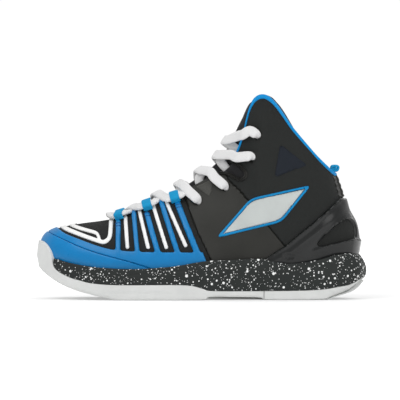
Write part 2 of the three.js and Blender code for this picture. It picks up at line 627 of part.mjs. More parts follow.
// One half of the lace, from the loop over the toes on one side to its hidden end.
function laceHalf(firstSide) {
  const points = [];
  turns.forEach(({ places, loop, over, under }, k) => {
    const side = k % 2 === 0 ? firstSide : -firstSide;
    const { u, b } = places[side];
    if (loop) {
      const middle = offSurface(side, u, b, loopLift);
      const along = throatDirection(side, places[side]);
      for (const reach of [-0.72, -0.3, 0.3, 0.72])
        points.push(middle.clone().addScaledVector(along, reach * loopWidth));
    } else {
      const edge = surface(side, over, 1);
      const inward = edge.clone().sub(surface(side, over, 0.97)).normalize();
      points.push(edge.addScaledVector(inward, edgeTurn).addScaledVector(normal(side, over, 1), laceClearance));
      points.push(offSurface(side, over * 0.9 + u * 0.1, 0.97, laceOver + 1));
      points.push(offSurface(side, u, b + 0.01, laceOver));
      points.push(offSurface(side, u, b - 0.015, (laceUnder(u, b) + laceOver) / 2));
      points.push(offSurface(side, u, b, laceUnder(u, b)));
      points.push(offSurface(side, (u + under) / 2, (b + 0.94) / 2, laceUnder((u + under) / 2, 0.9)));
      points.push(offSurface(side, under, 0.94, laceUnder(under, 0.94)));
    }
    if (k === turns.length - 1) return;
    const next = turns[k + 1];
    const start = loop ? u + 0.3 : under;
    const end = next.loop ? next.places[-side].u - 0.3 : next.over;
    const above = firstSide > 0 === (k % 2 === 0);
    const height = above ? 3 * laceRadius + 3.6 * laceClearance : laceRadius + 2 * laceClearance;
    const middle = (start + end) / 2;
    if (!loop) points.push(onTongue(start, side * crossingSpread[0], laceOver + 0.6));
    const raised = height + 1.6 * laceClearance;
    points.push(onTongue(THREE.MathUtils.lerp(start, middle, 0.7), side * crossingSpread[1], raised));
    points.push(onTongue(middle, 0, raised));
    points.push(onTongue(THREE.MathUtils.lerp(end, middle, 0.7), -side * crossingSpread[1], raised));
  });
  return points;
}
const barHeight = 2.4;
const barPoint = surface(1, throatStation - 0.55, 1).add(new THREE.Vector3(0, 0, laceRadius + barHeight));
const lacePoints = [...laceHalf(-1).reverse(), barPoint, ...laceHalf(1)];
const laceCurve = new THREE.CatmullRomCurve3(lacePoints, false, "centripetal");
function tube(curve, radius, steps, sidesRound = 6) {
  const shape = new THREE.Shape();
  for (let i = 0; i < sidesRound; i++) {
    const angle = ((i + 0.5) * 2 * Math.PI) / sidesRound;
    const x = radius * Math.cos(angle);
    const y = radius * Math.sin(angle);
    if (i === 0) shape.moveTo(x, y);
    else shape.lineTo(x, y);
  }
  shape.closePath();
  return fromGeometry(new THREE.ExtrudeGeometry(shape, { steps, extrudePath: curve, bevelEnabled: false }));
}
const laceSteps = 112;
const lace = tube(laceCurve, laceRadius, laceSteps);
const laceHole = tube(laceCurve, laceRadius + laceClearance * 0.7, laceSteps);
add("lace", lace, white, 0.9);
add("tongue", tongueShell, black, 0.85);
add("tongue_lining", tongueBack, black, 0.95);

// ---- binding: a soft edge round the topline, from one side of the ankle opening to the other ----
const bindingRadius = bindingDiameter / 2;
const bindingStart = 9.35;
function bindingPoint(side, u) {
  const edge = surface(side, u, 1);
  const down = surface(side, u, 0.97).sub(edge).normalize();
  return offSurface(side, u, 1, shellInner).addScaledVector(down, bindingRadius);
}
const bindingPoints = [];
for (let u = bindingStart; u < lastStation - 0.2; u += 0.5) bindingPoints.push(bindingPoint(-1, u));
bindingPoints.push(bindingPoint(-1, lastStation));
for (let k = bindingPoints.length - 2; k >= 0; k--) {
  const p = bindingPoints[k];
  bindingPoints.push(new THREE.Vector3(p.x, -p.y, p.z));
}
const bindingCurve = new THREE.CatmullRomCurve3(bindingPoints, false, "centripetal");
const bindingSteps = 40;
add("collar_binding", tube(bindingCurve, bindingRadius, bindingSteps), blue, 0.6);
const bindingSeat = tube(bindingCurve, bindingRadius + fit * 1.4, bindingSteps);

// ---- shell and lining ----
const notchCut = through(notch);
const openings = [laceHole, bindingSeat, notchCut];
const opened = (solid) => openings.reduce((rest, cut) => rest.subtract(cut), solid);
// The largest piece of a cut: slivers behind a seam are trimmed away.
const mainPiece = (solid) => solid.decompose().reduce((a, b) => (b.volume() > a.volume() ? b : a));
add("vamp", mainPiece(opened(shell.intersect(vampRegion))), black, 0.8);
add("vamp_lining", mainPiece(opened(lining.intersect(vampRegion))), black, 0.95);
const behindVamp = through([
  ...beside(quarterFront, seamHalf), [farRight, gradeZ(bottom)], [farRight, top], [frontTop[0], top],
]);
add("collar_lining", mainPiece(opened(lining.intersect(behindVamp))), black, 0.95);
for (const [name, side] of Object.entries(sides)) {
  add(name + "_quarter", mainPiece(opened(shell.intersect(quarterRegion(side)))), darkGrey, 0.6);
  add(name + "_collar_panel", mainPiece(opened(shell.intersect(collarRegion(side)))), black, 0.8);
}

// ---- between shell and lining ----
const counterTop = 64;
const foamOutline = gradeXZ([
  [57, 200], [58, 150], [60, 110], [74, counterTop + 1], [165, counterTop + 1], [165, 200],
]);
const counterOutline = gradeXZ([[70, bottom], [165, bottom], [165, counterTop], [84, counterTop], [72, 48]]);
const puffOutline = gradeXZ([[-170, bottom], [-112, bottom], [-104, 40], [-103, 90], [-170, 90]]);
add("collar_foam", mainPiece(opened(between.intersect(through(foamOutline)))), foamGrey, 1);
add("heel_counter", mainPiece(between.intersect(through(counterOutline))), 0xb8b0a0, 0.6);
add("toe_puff", mainPiece(between.intersect(through(puffOutline))), 0xb8b0a0, 0.6);

// ---- forefoot overlays ----
const guardLine = gradeXZ([
  [-160, 71], [-142, 62.4], [-121.7, 53.2], [-107, 47.1], [-91, 42], [-76, 38], [-60, 33.6], [-46, 28.5],
  [-38, 24],
]);
const guardRegion = through([
  ...beside(guardLine, -seamHalf), [guardLine.at(-1)[0], gradeZ(bottom)], [farLeft, gradeZ(bottom)],
  [farLeft, guardLine[0][1]],
]);
add("toe_guard", overlay.intersect(guardRegion), blue, 0.35);
const cageRear = gradeXZ([[-17.3, 95.2], [-9, 72], [4.9, 36], [12, 20]]);
const cageTop = gradeXZ([
  [-160, 78], [-134.7, 67.5], [-125.4, 61.8], [-110, 56], [-97, 51.2], [-85, 47.6], [-74, 45.9], [-60, 44.9],
  [-36, 44.3], [-6, 44],
]);
const cageBody = through([
  ...cageTop, ...gradeXZ([[2, 44], [12, 20], [-30, bottom]]), ...beside(guardLine, seamHalf).reverse(),
]);
// Ribs from the band up to the throat, front to back: [top x, top z, foot x, foot z, width].
const ribs = [
  [-76.6, 72, -76.6, 43, 4.6], [-63.4, 88, -58.3, 42, 4.3], [-50, 79, -39, 42, 5], [-38.2, 94, -20.8, 42, 4.8],
  [-21.6, 88.5, -1, 38, 5.6],
];
const ribSolids = ribs.map(([x0, z0, x1, z1, w]) => through(stroke(gradeXZ([[x0, z0], [x1, z1]]), w)));
const cageRegion = ribSolids.reduce((all, rib) => all.add(rib), cageBody);
const cageLimit = through([
  ...beside(cageRear, -seamHalf), [gradeX(-60), gradeZ(bottom)], [farLeft, gradeZ(bottom)],
  [farLeft, cageRear[0][1]],
]);
const openedOverlay = overlay.subtract(laceHole);
add("rib_cage", mainPiece(openedOverlay.intersect(cageRegion).intersect(cageLimit)), deepBlue, 0.4);

// White bars between the ribs and the stripe over the toes, printed thick on the vamp.
const print = layer(-overlayThickness, -overlayThickness + printThickness);
const bars = [
  [-70.2, 76.5, -67.8, 48.5], [-57.7, 83, -48.8, 48.5], [-44.4, 86, -32, 48.5], [-32, 88.5, -14.2, 50],
];
function bar([x0, z0, x1, z1]) {
  const tip = new THREE.Vector2(x1 - x0, z1 - z0).normalize().multiplyScalar(barWidth * 0.35);
  const line = gradeXZ([[x0, z0], [x1, z1]]);
  const outline = stroke(line, barWidth);
  const end = [line[1][0] + tip.x, line[1][1] + tip.y];
  return [outline[0], outline[1], end, outline[2], outline[3]];
}
for (const [name, side] of Object.entries(sides))
  bars.forEach((line, k) => {
    const solid = print.intersect(onSide(side, bar(line))).subtract(laceHole);
    add(`white_bar_${name}_${k + 1}`, mainPiece(solid), white, 0.5);
  });
const stripeOuter = smooth(gradeXZ([
  [-83.2, 80], [-83.8, 64], [-85, 57.5], [-88, 54.4], [-92, 54], [-102.8, 57.6], [-114.3, 62], [-124.5, 66],
  [-136, 72],
]), 14);
const stripeInner = gradeXZ([
  [-128, 74], [-116.7, 68.6], [-106.7, 65.4], [-97.5, 62.6], [-95, 60.4], [-93.4, 54.5],
]);
const innerStripeWidth = stripeWidth * 0.8;
const stripes = through(stroke(stripeOuter, stripeWidth)).add(through(stroke(stripeInner, innerStripeWidth)));
add("toe_stripe", mainPiece(print.intersect(stripes)), white, 0.5);

// ---- heel ----
const clipLayer = layer(-overlayThickness, clipThickness - overlayThickness);
const clipEdge = gradeXZ([
  [57, 38.4], [63, 40.7], [70.2, 45.6], [77.2, 49.9], [91.3, 61.9], [102, 70.4], [112.6, 79.6], [119.6, 85.2],
  [126.7, 91.6], [132, 93.3], [165, 93.3],
]);
const windowOutline = gradeXZ([
  [131, 73.4], [134.5, 72.2], [136.6, 66.2], [137, 57.7], [135.4, 55.5], [126.7, 53.6], [109, 49.4],
  [107, 51.4], [112.6, 57.7], [123.1, 67.5],
]);
const clipRim = beside(rim.filter(([x]) => x > gradeX(50)), fit * 1.5);
const clipRegion = through([...clipRim, [farRight, clipEdge.at(-1)[1]], ...clipEdge.slice(0, -1).reverse()]);
const windowCut = through(windowOutline);
add("heel_clip", mainPiece(clipLayer.intersect(clipRegion).subtract(windowCut)), 0x1c1d1e, 0.25);
for (const [name, side] of Object.entries(sides))
  add("clip_window_" + name, mainPiece(print.intersect(onSide(side, grown(windowOutline, -fit)))), black, 0.7);
const stripHalf = 6.5;
const stripOutline = gradeXZ([[108, 94], [165, 94], [165, 112], [108, 112]]);
add("heel_strip", mainPiece(overlay.intersect(through(stripOutline, -stripHalf, stripHalf))), black, 0.7);

// Pull tab: a folded loop of webbing that stands on the collar at the heel and swings about its sewn foot.
const heelTop = surface(1, lastStation, 1);
const tabFoot = new THREE.Vector2(heelTop.x + fit * 2, heelTop.z + bindingDiameter / 2 + fit);
function stadium(centre, radius, height) {
  const shape = new THREE.Shape();
  shape.absarc(centre.x, centre.y, radius, Math.PI, 2 * Math.PI, false);
  shape.absarc(centre.x, centre.y + height, radius, 0, Math.PI, false);
  return shape.getPoints(5);
}
const tabShape = new THREE.Shape(stadium(tabFoot, pullTabRadius, pullTabHeight));
tabShape.holes.push(new THREE.Path(stadium(tabFoot, pullTabRadius - pullTabThickness, pullTabHeight)));
const tabGeometry = new THREE.ExtrudeGeometry(tabShape, { depth: pullTabWidth, bevelEnabled: false });
tabGeometry.rotateX(Math.PI / 2).translate(0, pullTabWidth / 2, 0);
add("pull_tab", fromGeometry(tabGeometry), 0x11a0e0, 0.6);

// ---- side badge, ankle mesh, notch trim, eyestay patch, lace loops and aglets, on both sides ----
const badgeOutline = gradeXZ([[13.5, 57], [45, 93.5], [102, 106], [74, 71.5]]);
const badgeBorder = 2.2;
const ankleOutline = gradeXZ([[72.3, 144.1], [99, 123.5], [67, 112]]);
const patchOutline = gradeXZ([[-5.5, 104], [8, 110.5], [10, 108.5], [9.6, 100.5], [7.2, 95.5]]);
const trimWidth = 2.4;
const badge = layer(-overlayThickness, -overlayThickness + badgeThickness);
for (const [name, side] of Object.entries(sides)) {
  const on = (outline) => onSide(side, outline);
  const inner = grown(badgeOutline, -badgeBorder);
  add("side_badge_" + name, mainPiece(badge.intersect(on(inner))), 0xdfe3e8, 0.5);
  const border = on(badgeOutline).subtract(on(grown(inner, fit)));
  add("badge_border_" + name, mainPiece(badge.intersect(border)), blue, 0.5);
  add("ankle_mesh_" + name, mainPiece(print.intersect(on(ankleOutline))), 0x1b2638, 0.8);
  const frame = on(grown(notch, fit + trimWidth)).subtract(on(grown(notch, fit)));
  const trim = overlay.intersect(frame).subtract(laceHole).subtract(bindingSeat);
  add("notch_trim_" + name, mainPiece(trim), black, 0.5);
  add("eyestay_patch_" + name, mainPiece(print.intersect(on(patchOutline)).subtract(laceHole)), black, 0.8);
}

// A webbing loop over the lace: a ring whose tunnel follows the throat.
function laceLoop(side, place) {
  const outer = laceRadius + laceClearance + loopThickness;
  const inner = laceRadius + laceClearance;
  const box = (half, round) => {
    const points = [];
    for (let corner = 0; corner < 4; corner++)
      for (let k = 0; k < 3; k++) {
        const angle = ((corner + k / 2) * Math.PI) / 2;
        const cx = (corner === 0 || corner === 3 ? 1 : -1) * (half - round);
        const cy = (corner < 2 ? 1 : -1) * (half - round);
        points.push(new THREE.Vector2(cx + round * Math.cos(angle), cy + round * Math.sin(angle)));
      }
    return points;
  };
  const shape = new THREE.Shape(box(outer, outer * 0.5));
  shape.holes.push(new THREE.Path(box(inner, inner * 0.5)));
  const geometry = new THREE.ExtrudeGeometry(shape, { depth: loopWidth, bevelEnabled: false });
  geometry.translate(0, 0, -loopWidth / 2);
  const along = throatDirection(side, place);
  const out = normal(side, place.u, place.b);
  const across = new THREE.Vector3().crossVectors(out, along).normalize();
  const up = new THREE.Vector3().crossVectors(along, across);
  const frame = new THREE.Matrix4().makeBasis(across, up, along);
  frame.setPosition(offSurface(side, place.u, place.b, loopLift));
  return fromGeometry(geometry.applyMatrix4(frame)).subtract(laceHole);
}
turns.filter(({ loop }) => loop).forEach(({ places }, k) => {
  for (const [name, side] of Object.entries(sides))
    add(`lace_loop_${name}_${k + 1}`, mainPiece(laceLoop(side, places[side])), 0x11a0e0, 0.7);
});

// Aglets: stiff tips a little thicker than the lace, just past its two ends.
const agletLength = 14;
const agletRadius = laceRadius * 0.6;
for (const [name, end, along] of [
  ["aglet_lateral", lacePoints[0], laceCurve.getTangent(0).negate()],
  ["aglet_medial", lacePoints.at(-1), laceCurve.getTangent(1)],
]) {
  const tip = end.clone().addScaledVector(along, agletLength + 3 * fit);
  const line = new THREE.LineCurve3(end.clone().addScaledVector(along, 3 * fit), tip);
  add(name, tube(line, agletRadius, 1), 0xe8e8e8, 0.3);
}

// ---- the origin is under the middle of the shoe, on the ground ----
const box = new THREE.Box3().setFromObject(shoe);
shoe.position.set(-(box.min.x + box.max.x) / 2, -(box.min.y + box.max.y) / 2, -box.min.z);
const root = new THREE.Group();
root.name = "basketball_high_top";
root.add(shoe);

export default root;
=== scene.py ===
# Basketball high top, left shoe: toe at -X, heel at +X, lateral side at -Y, ground at Z = 0.
# The upper's pieces are layers of one curved surface, each trimmed to its pattern and rounded at its edges.
import math

import bmesh
import bpy
import numpy as np
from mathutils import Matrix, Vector


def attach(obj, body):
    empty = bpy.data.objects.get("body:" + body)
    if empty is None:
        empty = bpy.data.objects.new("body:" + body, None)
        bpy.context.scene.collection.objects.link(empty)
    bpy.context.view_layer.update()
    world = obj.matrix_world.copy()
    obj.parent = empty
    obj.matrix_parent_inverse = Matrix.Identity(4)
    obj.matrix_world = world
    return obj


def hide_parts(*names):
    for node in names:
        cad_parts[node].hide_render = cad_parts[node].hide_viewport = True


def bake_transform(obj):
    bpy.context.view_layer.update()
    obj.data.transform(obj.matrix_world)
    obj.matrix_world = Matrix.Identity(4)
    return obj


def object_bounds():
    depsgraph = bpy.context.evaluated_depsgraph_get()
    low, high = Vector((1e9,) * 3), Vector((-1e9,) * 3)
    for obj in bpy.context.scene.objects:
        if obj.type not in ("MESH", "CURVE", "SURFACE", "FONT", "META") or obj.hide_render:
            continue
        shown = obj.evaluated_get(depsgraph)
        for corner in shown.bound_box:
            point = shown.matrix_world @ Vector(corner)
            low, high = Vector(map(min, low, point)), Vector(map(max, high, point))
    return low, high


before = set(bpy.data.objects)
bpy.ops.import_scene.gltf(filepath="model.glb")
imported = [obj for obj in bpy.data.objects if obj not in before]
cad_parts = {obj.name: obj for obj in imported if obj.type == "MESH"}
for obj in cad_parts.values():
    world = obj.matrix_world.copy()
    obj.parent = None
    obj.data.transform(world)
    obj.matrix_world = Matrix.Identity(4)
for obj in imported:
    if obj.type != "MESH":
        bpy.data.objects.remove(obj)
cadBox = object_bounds()
print("frame loaded")

# Patterns are drawn in millimetres for one size; grade takes them to the frame's metres.
patternBox = {"low": (-152.6, -56.2, 0.0), "high": (153.0, 54.0, 188.32)}
low, high = np.array(cadBox[0]), np.array(cadBox[1])
patternLow, patternHigh = np.array(patternBox["low"]), np.array(patternBox["high"])
grade = (high - low) / (patternHigh - patternLow)
shift = low - patternLow * grade
fit = 0.3  # clearance between two pieces, mm


def camera():
    # Long lens, level with the shoe, looking at its lateral side.
    settings = {"lens": 600, "view": 0.3696, "middle": (-0.0012, 0.0912), "elevation": 1.0}
    data = bpy.data.cameras.new("camera")
    data.lens = settings["lens"]
    data.clip_end = 20
    reach = settings["view"] * data.lens / data.sensor_width
    tilt = math.radians(settings["elevation"])
    thing = bpy.data.objects.new("camera", data)
    x, z = settings["middle"]
    thing.location = (x, -reach * math.cos(tilt), z + reach * math.sin(tilt))
    thing.rotation_euler = (math.pi / 2 - tilt, 0, 0)
    bpy.context.collection.objects.link(thing)
    bpy.context.scene.camera = thing


camera()

# ---- finishes ----


class Finish:
    # A material under construction: add() makes a node, link() joins two sockets.
    def __init__(self, name, color=(0.5, 0.5, 0.5), roughness=0.6, **extra):
        self.material = bpy.data.materials.new(name)
        self.material.use_nodes = True
        self.tree = self.material.node_tree
        self.shader = self.tree.nodes["Principled BSDF"]
        self.shader.inputs["Base Color"].default_value = (*color, 1)
        self.shader.inputs["Roughness"].default_value = roughness
        self.shader.inputs["Specular IOR Level"].default_value = 0.25
        for socket, value in extra.items():
            self.shader.inputs[socket].default_value = value

    def add(self, kind, inputs=None, **props):
        node = self.tree.nodes.new(kind)
        for key, value in props.items():
            setattr(node, key, value)
        for key, value in (inputs or {}).items():
            if isinstance(value, bpy.types.NodeSocket):
                self.tree.links.new(value, node.inputs[key])
            else:
                node.inputs[key].default_value = value
        return node

    def link(self, source, socket):
        self.tree.links.new(source, self.shader.inputs[socket])

    def place(self):
        return self.add("ShaderNodeTexCoord").outputs["Object"]

    def uv(self):
        return self.add("ShaderNodeTexCoord").outputs["UV"]

    def noise(self, vector, scale, detail=3, roughness=0.6):
        inputs = {"Vector": vector, "Scale": scale, "Detail": detail, "Roughness": roughness}
        return self.add("ShaderNodeTexNoise", inputs).outputs["Fac"]

    def math(self, operation, a, b=None, c=None):
        inputs = {k: v for k, v in enumerate((a, b, c)) if v is not None}
        return self.add("ShaderNodeMath", inputs, operation=operation).outputs[0]

    def ramp(self, factor, stops):
        node = self.add("ShaderNodeValToRGB", {"Fac": factor})
        elements = node.color_ramp.elements
        while len(elements) < len(stops):
            elements.new(1)
        for element, (position, value) in zip(elements, stops):
            element.position = position
            element.color = (*value, 1) if isinstance(value, tuple) else (value, value, value, 1)
        return node.outputs["Color"]

    def mix(self, factor, a, b):
        # Sockets 6 and 7 of a colour mix are its two colours, and output 2 is their mix.
        a, b = ((*value, 1) if isinstance(value, tuple) else value for value in (a, b))
        return self.add("ShaderNodeMix", {"Factor": factor, 6: a, 7: b}, data_type="RGBA").outputs[2]

    def crossedWaves(self, vector, turns):
        # Two diagonal waves of a vector's X and Y that cross each other.
        split = self.add("ShaderNodeSeparateXYZ", {"Vector": vector})
        u, v = split.outputs["X"], split.outputs["Y"]
        diagonals = [self.math(way, u, v) for way in ("ADD", "SUBTRACT")]
        return [self.math("SINE", self.math("MULTIPLY", d, turns)) for d in diagonals]

    def bump(self, height, strength=0.3, distance=0.0003):
        node = self.add("ShaderNodeBump", {"Height": height, "Strength": strength, "Distance": distance})
        self.link(node.outputs["Normal"], "Normal")


def moulded(name, color, roughness, grain=900, strength=0.12, spread=0.12, **extra):
    # Smooth rubber, film or plastic: fine grain, slight cloudiness of colour and gloss.
    f = Finish(name, color, roughness, **extra)
    place = f.place()
    cloud = f.noise(place, 38, 4)
    light = tuple(min(c * (1 + spread), 1) for c in color)
    dark = tuple(c * (1 - spread) for c in color)
    f.link(f.mix(f.ramp(cloud, [(0.35, 0.0), (0.65, 1.0)]), dark, light), "Base Color")
    gloss = f.noise(place, 150, 3)
    f.link(f.math("MULTIPLY_ADD", gloss, 0.16, roughness - 0.08), "Roughness")
    f.bump(f.noise(place, grain, 4), strength, 0.0002)
    return f.material


def woven(name, color, accent, pitch=1.1, roughness=0.85, strength=0.5, **extra):
    # Knitted mesh: two crossed waves along the piece's UV map (in millimetres), with darker holes.
    f = Finish(name, color, roughness, **extra)
    uv = f.add("ShaderNodeMapping", {"Vector": f.uv(), "Scale": (1 / pitch, 1 / pitch, 1)}).outputs["Vector"]
    weave = f.math("MULTIPLY_ADD", f.math("MULTIPLY", *f.crossedWaves(uv, 2 * math.pi)), 0.5, 0.5)
    fuzz = f.noise(f.place(), 600, 3)
    height = f.math("MULTIPLY_ADD", fuzz, 0.35, weave)
    f.link(f.mix(f.ramp(height, [(0.25, 0.0), (0.95, 1.0)]), color, accent), "Base Color")
    f.bump(height, strength, 0.0004)
    return f.material


# Paint drops: cells per metre, share of the cells that have a drop, shift of the pattern.
speckles = {"bend": 0.0004, "largest": 0.3, "drops": ((215, 0.5, 0.0), (400, 0.5, 3.1), (700, 0.34, 7.7))}


def speckledFoam(name, color, paint):
    # Dark moulded foam with spattered paint: three sizes of drops from cells of distance to a point.
    f = Finish(name, color, 0.62)
    place = f.place()
    warp = f.add("ShaderNodeTexNoise", {"Vector": place, "Scale": 420.0, "Detail": 2.0}).outputs["Color"]
    bend = (speckles["bend"],) * 3
    bent = f.add("ShaderNodeVectorMath", {0: warp, 1: bend}, operation="MULTIPLY").outputs[0]
    moved = f.add("ShaderNodeVectorMath", {0: place, 1: bent}, operation="ADD").outputs[0]
    total, largest = None, speckles["largest"]
    for scale, share, seed in speckles["drops"]:
        offset = (seed, seed * 2, seed * 3)
        spot = f.add("ShaderNodeMapping", {"Vector": moved, "Location": offset}).outputs["Vector"]
        cells = f.add("ShaderNodeTexVoronoi", {"Vector": spot, "Scale": float(scale), "Randomness": 1.0})
        draw = f.add("ShaderNodeSeparateColor", {"Color": cells.outputs["Color"]})
        size = f.math("MULTIPLY_ADD", draw.outputs["Green"], largest * 0.6, largest * 0.4)
        kept = f.math("LESS_THAN", draw.outputs["Red"], share)
        drop = f.math("MULTIPLY", f.math("LESS_THAN", cells.outputs["Distance"], size), kept)
        total = drop if total is None else f.math("MAXIMUM", total, drop)
    grain = f.noise(place, 1400, 3)
    base = f.mix(f.noise(place, 60, 4), tuple(c * 0.8 for c in color), tuple(c * 1.35 for c in color))
    f.link(f.mix(total, base, paint), "Base Color")
    f.link(f.math("MULTIPLY_ADD", total, -0.22, 0.62), "Roughness")
    f.bump(f.math("MULTIPLY_ADD", total, 1.2, grain), 0.35, 0.0002)
    return f.material


def laceCloth(name, color):
    # Flat braid: diagonal yarns along the lace's own UV map.
    f = Finish(name, color, 0.85)
    f.shader.inputs["Sheen Weight"].default_value = 0.3
    braid = f.math("MAXIMUM", *f.crossedWaves(f.uv(), 6.5))
    shade = tuple(c * 0.82 for c in color)
    f.link(f.mix(f.ramp(braid, [(0.3, 0.0), (0.9, 1.0)]), shade, color), "Base Color")
    f.bump(f.math("MULTIPLY_ADD", f.noise(f.place(), 900, 2), 0.5, braid), 0.4, 0.00025)
    return f.material


glossy = {"Coat Weight": 0.1, "Coat Roughness": 0.2, "Specular IOR Level": 0.3}
sheen = {"Sheen Weight": 0.1}
finishes = {
    "guard": moulded("guardBlue", (0.0, 0.2, 0.5), 0.3, 700, 0.06, 0.05, **glossy),
    "cage": moulded("cageBlue", (0.0, 0.19, 0.48), 0.36, 700, 0.06, 0.06, **glossy),
    "white": moulded("printWhite", (0.86, 0.86, 0.85), 0.45, 900, 0.08, 0.03),
    "rubber": moulded("rubberWhite", (0.68, 0.69, 0.68), 0.5, 1100, 0.14, 0.04),
    "foam": speckledFoam("foamSpeckled", (0.018, 0.021, 0.02), (0.86, 0.87, 0.86)),
    "vamp": woven("meshBlack", (0.006, 0.006, 0.006), (0.026, 0.027, 0.026), 0.9, 0.85, 0.6),
    "quarter": moulded("syntheticGrey", (0.024, 0.024, 0.021), 0.5, 1500, 0.3, 0.08),
    "collar": woven("collarFabric", (0.0065, 0.0073, 0.007), (0.02, 0.022, 0.0205), 0.75, 0.75, 0.35),
    "lining": woven("liningBlack", (0.007, 0.007, 0.008), (0.024, 0.024, 0.026), 1.2, 0.9, 0.6, **sheen),
    "tongue": woven("tongueFabric", (0.009, 0.009, 0.01), (0.032, 0.032, 0.034), 1.0, 0.88, 0.55, **sheen),
    "clip": moulded("clipBlack", (0.008, 0.009, 0.009), 0.3, 800, 0.05, 0.1,
                    **{"Coat Weight": 0.35, "Coat Roughness": 0.15}),
    "window": woven("meshOpen", (0.004, 0.004, 0.004), (0.018, 0.02, 0.018), 1.6, 0.6, 0.9),
    "ankle": woven("ankleMesh", (0.004, 0.006, 0.01), (0.013, 0.018, 0.028), 1.5, 0.7, 0.7),
    "patch": woven("patchMesh", (0.02, 0.02, 0.019), (0.12, 0.12, 0.11), 1.6, 0.8, 0.9),
    "trim": moulded("trimBlack", (0.02, 0.02, 0.018), 0.4, 900, 0.1, 0.08),
    "binding": woven("bindingBlue", (0.0, 0.2, 0.52), (0.0, 0.29, 0.68), 0.8, 0.7, 0.35),
    "webbing": woven("webbingBlue", (0.0, 0.24, 0.50), (0.01, 0.34, 0.64), 1.0, 0.75, 0.5),
    "lace": laceCloth("laceWhite", (0.82, 0.82, 0.82)),
    "aglet": moulded("agletClear", (0.8, 0.8, 0.8), 0.2, 900, 0.04, 0.03),
    "badge": moulded("badgeSilver", (0.5, 0.53, 0.52), 0.42, 1800, 0.2, 0.04),
    "badgeEdge": moulded("badgeBlue", (0.0, 0.23, 0.52), 0.4, 1000, 0.1, 0.05),
    "insole": woven("insoleBlue", (0.0, 0.12, 0.4), (0.0, 0.2, 0.55), 1.0, 0.9, 0.4),
    "stitch": woven("stitchNavy", (0.0, 0.04, 0.17), (0.01, 0.1, 0.3), 0.6, 0.8, 0.4),
    "board": woven("boardFibre", (0.6, 0.58, 0.52), (0.68, 0.65, 0.58), 0.8, 0.95, 0.3),
    "padFoam": moulded("foamGrey", (0.26, 0.27, 0.28), 0.9, 500, 0.5, 0.1),
    "stiffener": moulded("stiffenerFibre", (0.46, 0.42, 0.34), 0.7, 700, 0.3, 0.08),
    "shank": moulded("shankPlastic", (0.015, 0.015, 0.016), 0.35, 400, 0.3, 0.1),
}
print("finishes made")

# ---- the upper's surface ----
# Stations from the toe to the heel: foot (x, lateral y, medial y, z) on the feather edge,
# top (x, half width, z) on the ridge or topline, the plan's centre,
# and how the wall between them swells: rise, bulge, reach, drop.
stations = np.array([
    [-146, 0, 0, 31, -116, 0, 70.2, 7, 0.66, 6.5, 1.12, 0.14],
    [-138, -23, 19, 29, -109, 0, 71.2, 6.5, 0.66, 7, 1, 0.1],
    [-124, -36, 31, 26, -100, 0, 72.4, 6, 0.64, 7, 0.8, 0.05],
    [-105, -44, 39, 23, -91, 0, 73.6, 5, 0.62, 7, 0.68, 0.03],
    [-84, -48, 43, 20.5, -82, 0, 75, 4, 0.6, 7, 0.6, 0.02],
    [-57, -50, 44, 19, -63, 12, 83, 3, 0.56, 6, 0.5, 0.14],
    [-27, -50, 42, 19, -41, 15, 91.5, 2, 0.52, 5, 0.48, 0.18],
    [4, -46, 37, 20, -18, 17, 100, 1, 0.48, 4, 0.45, 0.25],
    [22, -42, 34, 21.5, 4, 18, 111.5, 1, 0.44, 3, 0.42, 0.3],
    [36, -40, 33, 22.5, 24, 19, 123, 0.5, 0.4, 3, 0.38, 0.32],
    [47, -39, 33, 23.5, 36, 20, 147, 0, 0.38, 3.5, 0.35, 0.32],
    [58, -38, 33, 24.5, 44.5, 21, 178, 0, 0.36, 4, 0.35, 0.32],
    [70, -37, 34, 25.5, 54, 24, 188.4, 0, 0.34, 4.5, 0.3, 0.32],
    [84, -36, 35, 26, 66, 30, 182.5, 0, 0.32, 5, 0.2, 0.32],
    [103, -34, 34, 26.5, 84, 35, 158.5, 0, 0.32, 5, 0.05, 0.32],
    [121, -29, 29, 27, 104, 34, 136, 0, 0.32, 5, 0.1, 0.32],
    [136, -17, 17, 27, 119, 21, 121.5, 0, 0.34, 5, 0.3, 0.3],
    [141.5, 0, 0, 27, 125, 0, 117, 0, 0.34, 5, 0.55, 0.3],
])
lastStation = len(stations) - 1
throatStation = 4  # the ridge over the toes ends here and the throat opens
stationGap, wallHeight = 19, 95  # about how long a span of stations and how tall a wall is, mm


def railsOf(side):
    # Four rails of one side: feather edge, two handles of the wall, topline.
    s = stations
    centre = s[:, 7]
    foot = np.stack([s[:, 0], centre + (s[:, 1] if side < 0 else s[:, 2]), s[:, 3]], 1)
    top = np.stack([s[:, 4], centre + side * s[:, 5], s[:, 6]], 1)
    along = np.zeros((len(s), 2))
    along[1:-1] = (foot[2:] - foot[:-2])[:, :2]
    along[0] = (0, side)
    along[-1] = (0, -side)
    along /= np.linalg.norm(along, axis=1, keepdims=True)
    outward = np.stack([-side * along[:, 1], side * along[:, 0], 0 * centre], 1)
    wall = top[:, 2] - foot[:, 2]
    lowHandle = foot + outward * s[:, 9:10]
    lowHandle[:, 2] += wall * s[:, 8]
    highHandle = top.copy()
    highHandle[:, :2] += (foot - top)[:, :2] * s[:, 10:11]
    highHandle[:, 2] -= wall * s[:, 11]
    return np.stack([foot, lowHandle, highHandle, top])


rails = np.stack([railsOf(-1), railsOf(1)])  # side, rail, station, xyz


def catmullRom(a, b, c, d, t):
    # From b (t = 0) to c (t = 1), with a before them and d after.
    return 0.5 * (2 * b + (c - a) * t + (2 * a - 5 * b + 4 * c - d) * t ** 2
                  + (3 * b - a - 3 * c + d) * t ** 3)


